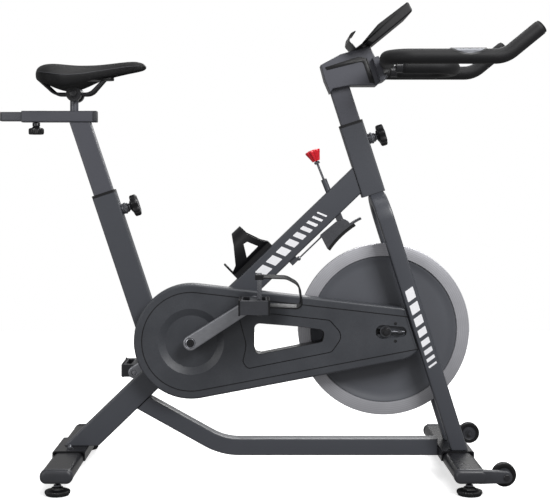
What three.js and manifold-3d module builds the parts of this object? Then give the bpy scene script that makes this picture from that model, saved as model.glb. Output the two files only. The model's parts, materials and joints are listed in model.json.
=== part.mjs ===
// Indoor cycling bike: belt-driven flywheel, sliding seat and handlebar posts, friction brake.
// Millimetres. +X points to the front of the bike, +Y to the rider's left, +Z up; Z = 0 is the floor.
// The origin lies on the floor under the centre of the whole bike.
import * as THREE from 'three';
import { mergeVertices } from 'three/addons/utils/BufferGeometryUtils.js';
import Module from 'manifold-3d';

const wasm = await Module();
wasm.setup();

// ---------------------------------------------------------------- driving dimensions
const GAP = 0.3; // clearance between neighbouring pieces
const RUNNING = 0.4; // radial clearance of a wheel on its axle, or a rail in its bore
const HUGE = 600; // reach of a cutting block, past everything it cuts

// axes of the frame, in the plane Y = 0
const CRANK = { x: -173, z: 313 };
const HUB = { x: 281, z: 336 };
const SPINE_TILT = 46.1; // degrees from vertical, leaning forward
const SEAT_TILT = -18.45;
const HEAD_TILT = -17.8;
const FORK_TILT = -17.5;
const SEAT_FOOT = { x: -245, z: 243 }; // where the seat tube's axis meets the spine's
const HEAD_FOOT = { x: 255.5, z: 661 }; // lower end of the head tube's axis
const FORK_REF = { x: 290, z: 573.5 }; // a point on the fork legs' axis

// tube sections: depth along the bike, width across it
const TUBE = { depth: 57, width: 40, corner: 5, wall: 2 };
const POST = { depth: 47.5, width: 30, corner: 4.5, wall: 2 };
const SLEEVE = { depth: 27, width: 30, corner: 4, wall: 2 };
const SLIDER = { depth: 22, width: 24.4, corner: 3.5, wall: 2 };
const LOWER = { depth: 40, width: 40, corner: 5, wall: 2 };
const LEG = { depth: 38, width: 28, corner: 6, wall: 2 };

const SPINE = { low: -430, high: 640 }; // along its own axis, from the crank
const SPRING_BOSS = { out: 40, half: 12, low: 292, high: 312 }; // under the spine, in the spine's frame
const SHELL = { inner: 9, outer: 20, right: -27, left: 34 }; // bottom bracket
const SEAT_TUBE_TOP = 433; // along its own axis
const SEAT_POST = { from: 210, top: 826.7 }; // from: along the axis; top: height of its level end
const HEAD_TUBE_TOP = 167;
const BAR_POST = { from: 40, to: 268 };
const BUSH = { length: 120, corner: 3, collar: 6, lip: 2 };
const LEG_Y = 54; // fork legs' axes from the mid plane, also the crown's bend radius
const CROWN_TOP = 92; // height of the crown's straight part over FORK_REF, less the bend
const FORK_FOOT = 55; // height that the legs are pushed down to before they are trimmed on the plate
const DROPOUT = { y: 51.5, thick: 5, back: 262, low: 308, high: 364, slot: 6.5 };
const LOWER_TUBE = { slope: 29, bendX: -100, bendRadius: 150, z: 58, start: 330 };

const FOOT_LINE = { rear: -456, front: 446 };
const STABILISER = { depth: 70, height: 29, z: 43.5, wall: 2.5, halfLength: 232, halfWidth: 250 };
const SADDLE_PLATE = { halfLength: 75, thick: 3, lip: 20 };
const LEVELLER = { y: 225, radius: 28, height: 17, stem: 5 };
const CASTOR = { x: 523, z: 43, y: 217, radius: 26, width: 21, pin: 4 };
const CAP_ARM = { ahead: 20, rear: 15, tip: 13 }; // outline of the arm that holds a transport wheel

const SLEEVE_SPAN = { rear: -578, front: -408, z: 840.5 };
const SLIDER_SPAN = { rear: -626, front: -425 };
const SLIDER_SLOT = { rear: -518, front: -430, width: 23 };
const SEAT_PIPE = { x: -454.5, radius: 10 };
const CLAMP = { x: -452, z: 893, halfWidth: 30, core: 12, coreHalf: 14, railY: 22 };
const SADDLE = { rear: -544, nose: -283, rearHalf: 98, noseHalf: 22, crown: 968, base: 930 };
const RAIL = 3.5; // radius of the saddle's rails

const CRANK_ARM = { length: 175, angle: 32.5, inner: 76, thick: 14, boss: 17, eye: 14.5 };
const SPINDLE = { radius: 8.5, half: 86 };
const PEDAL = { inner: 105, outer: 205, back: 35, front: 35, half: 15.5, axle: 6 };
const STRAP = { from: 6.5, to: 17, thick: 2.2, height: 67.4, clear: 0.4 };
const CAGE = { width: 76, thick: 4 };
const BELT = { y: -37.5, width: 15, thick: 3, drive: 105, driven: 30 };
const COVER = { radius: 134, reach: 480, taper: 8.6, rise: 2.1, face: -62, back: -23.1, wall: 2.6 };
const FLYWHEEL = { radius: 203, rimInner: 173, rim: 11, web: 4, hub: 28, hubHalf: 16 };
const AXLE = { radius: 6, half: 67 };

const BAR = { radius: 17, z: 963, x: 287.5, back: 268, hornY: 200, straight: 529, tip: { x: 610, z: 1029 } };
const LOOP = { y: 56, z: 954, front: 446 };
const BRACKET = { half: 31, wall: 4, bevel: 3, centre: { x: 206, z: 950 }, hollow: [0.9, 0.89] };
const BAR_PLATE = { x: 266, z: 950, back: -6, front: 8, half: 50, rise: 29 };
const TABLET_HALF = 80;
const SLIDER_KNOB = { x: -545, radius: 18.5, low: 798, high: 814.7, skirt: 9, screw: 4 };
const POP_PIN = { radius: 4, hole: 4.4, housing: 11, end: 49.4, knob: 27, depth: 17.5, bevel: 2.5 };
const PIN_HEIGHT = { seat: 388, handlebar: 123.5 }; // along each tube's own axis

const CAGE_HOOP = { top: 13, bottle: 35, wall: 3, low: 178, high: 290, half: 50 };

const BRAKE_AXIS = { x: 111.5, z: 760, tilt: 158.1 }; // from the knob's top down the screw
const BRAKE_GUIDE = { from: 74, to: 150, bore: 4.5, radius: 7 };
const PLUNGER = { from: 157, to: 178, half: 8 };
const BRAKE_PIVOT = { x: 80, z: 503 };
const BRAKE_SWING = 18.3; // degrees from rest to the rim
const PAD = { radius: 204.3, thick: 6.7, half: 10, from: 122, to: 146 };

// ---------------------------------------------------------------- finishes
const finish = (color, roughness, metalness) =>
  new THREE.MeshStandardMaterial({ color, roughness, metalness });
const FRAME_PAINT = () => finish(0x4c4e53, 0.45, 0.35);
const POST_PAINT = () => finish(0x5e5f66, 0.42, 0.35);
const MACHINED = () => finish(0xa9a8ad, 0.3, 0.9);
const STEEL = () => finish(0x77787c, 0.35, 0.85);
const BLACK_PLASTIC = () => finish(0x2a2a2e, 0.55, 0.0);
const COVER_PLASTIC = () => finish(0x494a4e, 0.5, 0.0);
const RUBBER = () => finish(0x1a1a1c, 0.8, 0.0);
const FOAM = () => finish(0x252528, 0.85, 0.0);
const LEATHERETTE = () => finish(0x2c2c30, 0.6, 0.0);
const RED_PLASTIC = () => finish(0xdb3540, 0.4, 0.0);

// ---------------------------------------------------------------- small tools
const group = new THREE.Group();
const rad = (degrees) => (degrees * Math.PI) / 180;
const v3 = (x, y, z) => new THREE.Vector3(x, y, z);

function piece(name, geometry, material, parent = group) {
  const mesh = new THREE.Mesh(geometry, material);
  mesh.name = name;
  parent.add(mesh);
  return mesh;
}

// a frame of reference: origin (x, 0, z), local Z leaning forward by tilt degrees
function tilted(point, tilt) {
  const frame = new THREE.Group();
  frame.position.set(point.x, 0, point.z);
  frame.rotation.y = rad(tilt);
  frame.updateMatrixWorld(true);
  return frame;
}

const spineFrame = tilted(CRANK, SPINE_TILT);
const seatFrame = tilted(SEAT_FOOT, SEAT_TILT);
const headFrame = tilted(HEAD_FOOT, HEAD_TILT);
const forkFrame = tilted(FORK_REF, FORK_TILT);
const brakeFrame = tilted(BRAKE_AXIS, BRAKE_AXIS.tilt);
group.add(spineFrame, seatFrame, headFrame, forkFrame, brakeFrame);

// a geometry as a solid, its shared vertices merged
function solid(geometry) {
  const bare = geometry.clone();
  for (const key of Object.keys(bare.attributes)) if (key !== 'position') bare.deleteAttribute(key);
  const merged = mergeVertices(bare, 1e-4);
  return new wasm.Manifold(new wasm.Mesh({
    numProp: 3,
    vertProperties: new Float32Array(merged.attributes.position.array),
    triVerts: new Uint32Array(merged.index.array),
  }));
}

function geometryOf(manifold) {
  const mesh = manifold.getMesh();
  const geometry = new THREE.BufferGeometry();
  geometry.setAttribute('position', new THREE.BufferAttribute(mesh.vertProperties, 3));
  geometry.setIndex(new THREE.BufferAttribute(mesh.triVerts, 1));
  geometry.computeVertexNormals();
  return geometry;
}

const cut = (body, ...tools) => tools.reduce((left, tool) => left.subtract(tool), body);
const join = (body, ...more) => more.reduce((sum, next) => sum.add(next), body);

// geometry given in one frame of reference, rewritten in another
function reframe(geometry, from, to) {
  const matrix = new THREE.Matrix4();
  if (to) matrix.copy(to.matrixWorld).invert();
  if (from) matrix.multiply(from.matrixWorld);
  return geometry.clone().applyMatrix4(matrix);
}

function block(x0, x1, y0, y1, z0, z1) {
  const geometry = new THREE.BoxGeometry(x1 - x0, y1 - y0, z1 - z0);
  return geometry.translate((x0 + x1) / 2, (y0 + y1) / 2, (z0 + z1) / 2);
}

function roundedOutline(target, depth, width, corner, turns = 2) {
  const x = depth / 2 - corner;
  const y = width / 2 - corner;
  const centres = [[x, y, 0], [-x, y, 90], [-x, -y, 180], [x, -y, 270]];
  const points = [];
  for (const [cx, cy, start] of centres) {
    for (let i = 0; i <= turns; i += 1) {
      const a = rad(start + (90 * i) / turns);
      points.push(new THREE.Vector2(cx + corner * Math.cos(a), cy + corner * Math.sin(a)));
    }
  }
  target.setFromPoints(points);
  return target;
}

// a rectangular tube section with round corners; hollow unless wall is 0
function section({ depth, width, corner, wall = 0 }, grow = 0, turns = 2) {
  const shape = roundedOutline(new THREE.Shape(), depth + 2 * grow, width + 2 * grow, corner + grow, turns);
  if (wall > 0) {
    const inner = Math.max(corner - wall, 0.8);
    shape.holes.push(roundedOutline(new THREE.Path(), depth - 2 * wall, width - 2 * wall, inner, turns));
  }
  return shape;
}

// a shape pushed straight up from one height to another
function prism(shape, low, high) {
  const geometry = new THREE.ExtrudeGeometry(shape, { depth: high - low, bevelEnabled: false });
  return geometry.translate(0, 0, low);
}

// a side view, drawn in X and Z, pushed across the bike from y0 to y1
function slab(shape, y0, y1, bevel = 0) {
  const geometry = new THREE.ExtrudeGeometry(shape, {
    depth: y1 - y0 - 2 * bevel,
    bevelEnabled: bevel > 0,
    bevelThickness: bevel,
    bevelSize: bevel,
    bevelOffset: -bevel,
    bevelSegments: 2,
  });
  return geometry.rotateX(Math.PI / 2).translate(0, y1 - bevel, 0);
}

const polygon = (points) => new THREE.Shape(points.map(([x, y]) => new THREE.Vector2(x, y)));

// a solid of revolution; profile rows are [radius, position along the axis]
function turned(profile, segments = 32) {
  const points = profile.map(([r, h]) => new THREE.Vector2(r, h));
  return new THREE.LatheGeometry(points, segments);
}

const rod = (radius, low, high, segments = 16) => turned([[0, low], [radius, low], [radius, high], [0, high]], segments);
const tubeRing = (inner, outer, low, high, segments = 32) =>
  turned([[inner, low], [outer, low], [outer, high], [inner, high], [inner, low]], segments);
// a lathe's axis is Y; these turn it to Z, or to X
const alongZ = (geometry) => geometry.rotateX(Math.PI / 2);
const alongX = (geometry) => geometry.rotateZ(-Math.PI / 2);

// a route with one station per listed point; a route in one plane is given that plane's normal
class Route extends THREE.Curve {
  constructor(points, planeNormal) {
    super();
    this.points = points;
    this.planeNormal = planeNormal;
  }

  getPoint(t, target = new THREE.Vector3()) {
    const place = Math.min(Math.max(t, 0), 1) * (this.points.length - 1);
    const i = Math.min(Math.floor(place), this.points.length - 2);
    return target.lerpVectors(this.points[i], this.points[i + 1], place - i);
  }

  getTangent(t, target = new THREE.Vector3()) {
    const last = this.points.length - 1;
    const i = Math.round(t * last);
    const before = this.points[Math.max(i - 1, 0)];
    const after = this.points[Math.min(i + 1, last)];
    return target.subVectors(after, before).normalize();
  }

  getUtoTmapping(u) {
    return u;
  }

  // in a plane, a section's x stays in the plane and its y along the plane's normal
  computeFrenetFrames(segments, closed) {
    if (!this.planeNormal) return super.computeFrenetFrames(segments, closed);
    const tangents = [];
    const normals = [];
    const binormals = [];
    for (let i = 0; i <= segments; i += 1) {
      const tangent = this.getTangent(i / segments);
      tangents.push(tangent);
      binormals.push(this.planeNormal.clone());
      normals.push(this.planeNormal.clone().cross(tangent).normalize());
    }
    return { tangents, normals, binormals };
  }
}

// corners: [x, y, z, radius of the bend there]; each bend gets the given number of steps
function bentRoute(corners, steps = 6) {
  const points = [];
  corners.forEach(([x, y, z, radius], i) => {
    const here = v3(x, y, z);
    if (!radius) {
      points.push(here);
      return;
    }
    const toBefore = v3(...corners[i - 1].slice(0, 3)).sub(here).normalize();
    const toAfter = v3(...corners[i + 1].slice(0, 3)).sub(here).normalize();
    const half = toBefore.angleTo(toAfter) / 2;
    const reach = radius / Math.tan(half);
    const start = here.clone().addScaledVector(toBefore, reach);
    const middle = toBefore.clone().add(toAfter).normalize();
    const centre = here.clone().addScaledVector(middle, radius / Math.sin(half));
    const axis = v3(0, 0, 0).crossVectors(toBefore, toAfter).normalize();
    const arm = start.clone().sub(centre);
    const sweepAngle = Math.PI - 2 * half;
    for (let k = 0; k <= steps; k += 1) {
      const turn = arm.clone().applyAxisAngle(axis, (-sweepAngle * k) / steps);
      points.push(centre.clone().add(turn));
    }
  });
  return points;
}

function sweep(shape, points, planeNormal) {
  return new THREE.ExtrudeGeometry(shape, {
    steps: points.length - 1,
    extrudePath: new Route(points, planeNormal),
    bevelEnabled: false,
  });
}

function circle(radius, sides = 12) {
  const shape = new THREE.Shape();
  const points = [];
  for (let i = 0; i < sides; i += 1) {
    const a = (2 * Math.PI * i) / sides;
    points.push(new THREE.Vector2(radius * Math.cos(a), radius * Math.sin(a)));
  }
  shape.setFromPoints(points);
  return shape;
}

// outline around two wheels joined by their outer tangents, in X and Z
function beltOutline(Kind, first, firstRadius, second, secondRadius, steps = 40) {
  const dx = second.x - first.x;
  const dz = second.z - first.z;
  const base = Math.atan2(dz, dx);
  const half = Math.acos((firstRadius - secondRadius) / Math.hypot(dx, dz));
  const points = [];
  const arc = (centre, radius, from, to, count) => {
    for (let i = 0; i <= count; i += 1) {
      const a = base + from + ((to - from) * i) / count;
      points.push(new THREE.Vector2(centre.x + radius * Math.cos(a), centre.z + radius * Math.sin(a)));
    }
  };
  arc(first, firstRadius, half, 2 * Math.PI - half, steps);
  arc(second, secondRadius, -half, half, Math.round(steps / 2.5));
  return new Kind(points);
}

// ---------------------------------------------------------------- frame
function spineTube() {
  let body = solid(reframe(prism(section(TUBE), SPINE.low, SPINE.high), spineFrame));
  const floorCut = block(-900, 0, -HUGE, HUGE, -HUGE, STABILISER.z + STABILISER.height / 2 + SADDLE_PLATE.thick + 2 * GAP);
  const ahead = block(-TUBE.depth / 2 - GAP, HUGE, -HUGE, HUGE, -HUGE, HUGE);
  const shellHole = rod(SHELL.outer + GAP, -60, 60, 40).translate(CRANK.x, 0, CRANK.z);
  const { from, to, bore, radius } = BRAKE_GUIDE;
  const { half } = PLUNGER;
  const guide = reframe(alongZ(rod(radius, from, to, 24)), brakeFrame);
  const guideBore = reframe(alongZ(rod(bore, from - 20, to + 2, 24)), brakeFrame);
  const shaft = block(-half - GAP, half + GAP, -half - GAP, half + GAP, to + 2, to + 60);
  const { out, half: bossHalf, low, high } = SPRING_BOSS;
  const springBoss = reframe(block(TUBE.depth / 2 - 1, out, -bossHalf, bossHalf, low, high), spineFrame);
  body = cut(join(body, solid(springBoss)), solid(reframe(shaft, brakeFrame)));
  body = cut(join(body, solid(guide)), solid(guideBore));
  body = cut(body, solid(floorCut), solid(reframe(ahead, headFrame)), solid(shellHole));
  piece('spine_tube', reframe(geometryOf(body), null, spineFrame), FRAME_PAINT(), spineFrame);
}

function seatTube() {
  const knobHole = alongX(rod(POP_PIN.hole, 0, 60)).translate(0, 0, PIN_HEIGHT.seat);
  const below = reframe(block(-TUBE.depth / 2 - GAP, HUGE, -HUGE, HUGE, -HUGE, HUGE), spineFrame, seatFrame);
  const tube = cut(solid(prism(section(TUBE), 10, SEAT_TUBE_TOP)), solid(below), solid(knobHole));
  piece('seat_tube', geometryOf(tube), FRAME_PAINT(), seatFrame);
  piece('seat_tube_bush', bush(SEAT_TUBE_TOP, knobHole), BLACK_PLASTIC(), seatFrame);
}

function headTube() {
  const knobHole = alongX(rod(POP_PIN.hole, 0, 60)).translate(0, 0, PIN_HEIGHT.handlebar);
  const crown = reframe(forkSweep({ ...LEG, wall: 0 }, GAP), forkFrame, headFrame);
  const tube = cut(solid(prism(section(TUBE), -5, HEAD_TUBE_TOP)), solid(knobHole), solid(crown));
  piece('head_tube', geometryOf(tube), FRAME_PAINT(), headFrame);
  piece('head_tube_bush', bush(HEAD_TUBE_TOP, knobHole), BLACK_PLASTIC(), headFrame);
}

// plastic sleeve that guides a post; its collar caps the tube's mouth
function bush(top, knobHole) {
  const { length, corner, collar, lip } = BUSH;
  const room = 2 * (TUBE.wall + GAP);
  const sleeve = section({ depth: TUBE.depth - room, width: TUBE.width - room, corner });
  const rim = section({ ...TUBE, wall: 0 });
  const bore = section(POST, GAP);
  const body = join(solid(prism(sleeve, top - length, top + lip)), solid(prism(rim, top + GAP, top + collar)));
  bore.holes = [];
  return geometryOf(cut(body, solid(prism(bore, top - 200, top + 50)), solid(knobHole)));
}

// the fork is one tube bent into an arch: two legs and a crown
function forkSweep(tube, grow = 0) {
  const foot = -(FORK_REF.z - FORK_FOOT) / Math.cos(rad(FORK_TILT));
  const route = [v3(0, -LEG_Y, foot)];
  const steps = 10;
  for (let i = 0; i <= steps; i += 1) {
    const a = Math.PI - (Math.PI * i) / steps;
    route.push(v3(0, LEG_Y * Math.cos(a), CROWN_TOP - LEG_Y - LEG.width / 2 + LEG_Y * Math.sin(a)));
  }
  route.push(v3(0, LEG_Y, foot));
  const turnedTube = { ...tube, depth: tube.width, width: tube.depth };
  return sweep(section(turnedTube, grow), route, v3(1, 0, 0));
}

function fork() {
  const floorCut = block(0, 900, -HUGE, HUGE, -HUGE, STABILISER.z + STABILISER.height / 2 + SADDLE_PLATE.thick + 2 * GAP);
  let body = solid(reframe(forkSweep(LEG), forkFrame));
  const inside = { depth: LEG.depth - 2 * LEG.wall, width: LEG.width - 2 * LEG.wall, corner: LEG.corner - LEG.wall };
  const hole = solid(reframe(prism(section(inside), -600, 0), forkFrame));
  for (const side of [-1, 1]) {
    const outline = polygon([
      [DROPOUT.back, HUB.z - 20], [DROPOUT.back + 10, DROPOUT.low], [380, DROPOUT.low],
      [366, DROPOUT.high], [DROPOUT.back + 26, DROPOUT.high], [DROPOUT.back, HUB.z + 20],
    ]);
    const y = side * DROPOUT.y;
    const plate = solid(slab(outline, y - DROPOUT.thick / 2, y + DROPOUT.thick / 2));
    const slot = solid(block(DROPOUT.back - 20, HUB.x, y - 10, y + 10, HUB.z - DROPOUT.slot, HUB.z + DROPOUT.slot));
    const mouth = solid(rod(DROPOUT.slot, y - 10, y + 10, 20).translate(HUB.x, 0, HUB.z));
    const bore = hole.translate(0, side * LEG_Y, 0);
    body = join(body, cut(plate, slot, mouth, bore));
  }
  body = cut(body, solid(floorCut));
  piece('fork', reframe(geometryOf(body), null, forkFrame), FRAME_PAINT(), forkFrame);
}

function lowerTube() {
  const { bendX, bendRadius, z, start } = LOWER_TUBE;
  const slope = rad(LOWER_TUBE.slope);
  const route = bentRoute([
    [bendX - start * Math.cos(slope), 0, z + start * Math.sin(slope)],
    [bendX, 0, z, bendRadius],
    [FOOT_LINE.front - STABILISER.depth / 2 - SADDLE_PLATE.thick - 2 * GAP, 0, z],
  ], 10);
  const above = reframe(block(-HUGE, TUBE.depth / 2 + GAP, -HUGE, HUGE, -HUGE, HUGE), spineFrame);
  const body = cut(solid(sweep(section(LOWER), route, v3(0, 1, 0))), solid(above));
  piece('lower_tube', geometryOf(body), FRAME_PAINT());
}

function bottomBracket() {
  const { inner, outer, right, left } = SHELL;
  const shell = tubeRing(inner, outer, right, left, 24).translate(CRANK.x, 0, CRANK.z);
  piece('bottom_bracket', shell, STEEL());
}

// ---------------------------------------------------------------- stabilisers, feet and wheels
const flatOval = (grow = 0) => ({
  depth: STABILISER.depth + 2 * grow,
  width: STABILISER.height + 2 * grow,
  corner: STABILISER.height / 2 - 2 + grow,
});

// a section drawn in X and Z, pushed across the bike
const across = (shape, x, z, y0, y1) =>
  prism(shape, 0, y1 - y0).rotateX(Math.PI / 2).translate(x, y1, z);

function stabiliser(end, x) {
  const shape = section({ ...flatOval(), wall: STABILISER.wall }, 0, 4);
  let tube = solid(across(shape, x, STABILISER.z, -STABILISER.halfLength, STABILISER.halfLength));
  for (const side of [-1, 1]) {
    const hole = alongZ(rod(LEVELLER.stem + GAP, 20, 44, 20)).translate(x, side * LEVELLER.y, 0);
    tube = cut(tube, solid(hole));
  }
  const half = STABILISER.depth / 2;
  const top = STABILISER.z + STABILISER.height / 2;
  const { thick, lip, halfLength } = SADDLE_PLATE;
  const outline = polygon([
    [x - half - thick, top - lip], [x - half, top - lip], [x - half, top - 4], [x - half + 4, top],
    [x + half - 4, top], [x + half, top - 4], [x + half, top - lip], [x + half + thick, top - lip],
    [x + half + thick, top], [x + half, top + thick], [x - half, top + thick], [x - half - thick, top],
  ]);
  const plate = solid(slab(outline, -halfLength, halfLength));
  piece(`${end}_stabiliser`, geometryOf(join(tube, plate)), FRAME_PAINT());
  for (const [label, side] of [['right', -1], ['left', 1]]) {
    piece(`${end}_cap_${label}`, endCap(x, side, end === 'front'), BLACK_PLASTIC());
    piece(`${end}_foot_${label}`, levellingFoot(), RUBBER()).position.set(x, side * LEVELLER.y, 0);
  }
}

// moulded cap; the front pair carries the transport wheels on forward arms
function endCap(x, side, withArm) {
  const near = STABILISER.halfLength + GAP;
  const span = side < 0 ? [-STABILISER.halfWidth, -near] : [near, STABILISER.halfWidth];
  let body = solid(across(section(flatOval(1), 0, 4), x, STABILISER.z, ...span));
  if (withArm) {
    const { ahead, rear, tip } = CAP_ARM;
    const arm = beltOutline(THREE.Shape, { x: x + ahead, z: STABILISER.z }, rear, CASTOR, tip, 20);
    const inner = CASTOR.y + CASTOR.width / 2 + 1;
    const armSpan = side < 0 ? [-STABILISER.halfWidth, -near] : [near, STABILISER.halfWidth];
    const pinSpan = side < 0 ? [-near - 5, -inner + CASTOR.width + 4] : [inner - CASTOR.width - 4, near + 5];
    const pin = rod(CASTOR.pin, ...pinSpan, 20).translate(CASTOR.x, 0, CASTOR.z);
    body = join(body, solid(slab(arm, ...armSpan)), solid(pin));
  }
  return geometryOf(body);
}

function levellingFoot() {
  const { radius, height, stem } = LEVELLER;
  return alongZ(turned([
    [0, 0], [radius - 2, 0], [radius, 2], [radius, 6], [radius - 6, 9],
    [14, 12], [13, height], [stem, height], [stem, 42], [0, 42],
  ], 16));
}

function transportWheels() {
  const { radius, width, pin } = CASTOR;
  for (const [label, side] of [['right', -1], ['left', 1]]) {
    const wheel = turned([
      [pin + RUNNING, -width / 2], [radius - 3, -width / 2], [radius, -width / 2 + 3],
      [radius, width / 2 - 3], [radius - 3, width / 2], [pin + RUNNING, width / 2],
      [pin + RUNNING, -width / 2],
    ], 24);
    piece(`transport_wheel_${label}`, wheel, RUBBER()).position.set(CASTOR.x, side * CASTOR.y, CASTOR.z);
  }
}

// ---------------------------------------------------------------- seat post, slider and saddle
function seatPost() {
  const level = block(-900, 200, -HUGE, HUGE, SEAT_POST.top, SEAT_POST.top + HUGE);
  const body = cut(solid(prism(section(POST), SEAT_POST.from, 700)), solid(reframe(level, null, seatFrame)));
  piece('seat_post', geometryOf(body), POST_PAINT(), seatFrame);
}

// a section drawn in Z and Y, pushed along the bike
const lengthwise = (shape, x0, x1, z) =>
  prism(shape, x0, x1).rotateY(Math.PI / 2).translate(0, 0, z);

function seatSlider() {
  const { rear, front, z } = SLEEVE_SPAN;
  const slot = block(SLIDER_SLOT.rear, SLIDER_SLOT.front, -SLIDER_SLOT.width / 2, SLIDER_SLOT.width / 2, z + 5, z + 40);
  const screwHole = alongZ(rod(SLIDER_KNOB.screw + GAP, z - 40, z)).translate(SLIDER_KNOB.x, 0, 0);
  const sleeve = cut(solid(lengthwise(section(SLEEVE), rear, front, z)), solid(slot), solid(screwHole));
  piece('slider_sleeve', geometryOf(sleeve), POST_PAINT());
  const cap = lengthwise(section({ ...SLEEVE, wall: 0 }), front + GAP, front + 8, z);
  piece('slider_sleeve_cap', cap, BLACK_PLASTIC());
  piece('saddle_slider', lengthwise(section(SLIDER), SLIDER_SPAN.rear, SLIDER_SPAN.front, z), STEEL());
  const low = z + SLIDER.depth / 2 + GAP;
  const pipe = solid(alongZ(rod(SEAT_PIPE.radius, low, CLAMP.z, 20)).translate(SEAT_PIPE.x, 0, 0));
  const core = solid(rod(CLAMP.core, -CLAMP.coreHalf, CLAMP.coreHalf, 20).translate(CLAMP.x, 0, CLAMP.z));
  piece('saddle_pipe', geometryOf(join(pipe, core)), MACHINED());
}

// rails: one wire, open at the back, joined in a loop under the nose
function railRoute() {
  const y = CLAMP.railY;
  const z = CLAMP.z;
  const right = [[-530, -34, 938, 0], [-497, -y, z, 26], [-414, -y, z, 26], [-384, -10, 932, 12]];
  const left = right.slice().reverse().map(([a, b, c, r]) => [a, -b, c, r]);
  return bentRoute([...right, ...left], 4);
}

function saddle() {
  const hole = solid(sweep(circle(RAIL + RUNNING, 8), railRoute()));
  const { x, z, halfWidth, core, coreHalf } = CLAMP;
  const inner = coreHalf + GAP;
  const room = core + GAP + 0.2;
  const body = cut(
    solid(slab(circle(18, 20), -halfWidth, halfWidth).translate(x, 0, z)),
    solid(rod(room, -inner, inner, 20).translate(x, 0, z)),
    solid(block(x - 30, x + 30, -inner, inner, z - 60, z + 4)),
    hole,
  );
  piece('saddle_clamp', geometryOf(body), STEEL());
  piece('saddle_rails', sweep(circle(RAIL, 8), railRoute()), MACHINED());
  piece('saddle', geometryOf(cut(solid(saddleForm()), hole)), LEATHERETTE());
}

// the saddle: broad crowned rear, narrow nose, skirt lower at the sides of the rear
function saddleForm() {
  const length = SADDLE.nose - SADDLE.rear;
  const form = new THREE.BoxGeometry(1, 2, 1, 14, 8, 3);
  const place = form.attributes.position;
  const smooth = (a, b, t) => THREE.MathUtils.smoothstep(t, a, b);
  for (let i = 0; i < place.count; i += 1) {
    const u = place.getX(i) + 0.5;
    const side = place.getY(i);
    const w = place.getZ(i) + 0.5;
    const round = Math.sqrt(Math.max(1 - (2 * u - 1) ** 8, 0));
    const rearRound = Math.sqrt(Math.min(u / 0.22, 1) * (2 - Math.min(u / 0.22, 1)));
    const wide = SADDLE.noseHalf + (SADDLE.rearHalf - SADDLE.noseHalf) * (1 - smooth(0.2, 0.68, u));
    const half = wide * (0.35 + 0.65 * rearRound) * (0.5 + 0.5 * round);
    const crown = SADDLE.crown - 6 * Math.sin(Math.PI * Math.min(u * 1.25, 1)) + 3 * smooth(0.7, 1, u) - 6 * (1 - rearRound);
    const bottom = SADDLE.base + 20 * smooth(0.5, 1, u) - 22 * (1 - smooth(0.25, 0.6, u)) * Math.abs(side) ** 2;
    const bulge = Math.sin((Math.PI / 2) * side);
    const top = crown - (10 + 14 * (1 - smooth(0.3, 0.7, u))) * Math.abs(side) ** 3;
    const y = half * bulge * (1 - 0.06 * (1 - w));
    place.setXYZ(i, SADDLE.rear + length * u, y, bottom + (top - bottom) * w);
  }
  return form;
}

// ---------------------------------------------------------------- knobs
function lobed(radius, lobes, dip, steps = 7 * 5) {
  const points = [];
  for (let i = 0; i < steps; i += 1) {
    const a = (2 * Math.PI * i) / steps;
    const r = radius - (dip * (1 - Math.cos(lobes * a))) / 2;
    points.push(new THREE.Vector2(r * Math.cos(a), r * Math.sin(a)));
  }
  return new THREE.Shape(points);
}

// a pop-pin: a threaded housing against the tube, and a knob whose pin runs through it
function popPin(name, frame, height) {
  const at = TUBE.depth / 2;
  const { radius, housing: shell, end, knob, depth, bevel } = POP_PIN;
  const housing = alongX(tubeRing(radius + GAP, shell, at + GAP, end, 16)).translate(0, 0, height);
  piece(`${name}_pin_housing`, housing, STEEL(), frame);
  const head = new THREE.ExtrudeGeometry(lobed(knob, 7, 4), {
    depth, bevelEnabled: true, bevelThickness: bevel, bevelSize: bevel, bevelOffset: -bevel, bevelSegments: 1,
  }).translate(0, 0, end + bevel + 0.5).rotateY(Math.PI / 2);
  const pin = alongX(rod(radius, POST.depth / 2 + GAP, end + 10));
  piece(`${name}_knob`, geometryOf(join(solid(head), solid(pin)).translate(0, 0, height)), BLACK_PLASTIC(), frame);
}

function sliderKnob() {
  const { x, radius, low, high, skirt, screw } = SLIDER_KNOB;
  const head = prism(lobed(radius, 6, 3, 6 * 5), low, high).translate(x, 0, 0);
  const sleeveFloor = SLEEVE_SPAN.z - SLEEVE.depth / 2;
  const sliderFloor = SLEEVE_SPAN.z - SLIDER.depth / 2;
  const stem = alongZ(turned([
    [0, low + 4], [skirt, low + 4], [skirt, sleeveFloor - GAP], [screw, sleeveFloor - GAP],
    [screw, sliderFloor - GAP], [0, sliderFloor - GAP],
  ], 24)).translate(x, 0, 0);
  piece('slider_knob', geometryOf(join(solid(head), solid(stem))), BLACK_PLASTIC());
}

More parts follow.
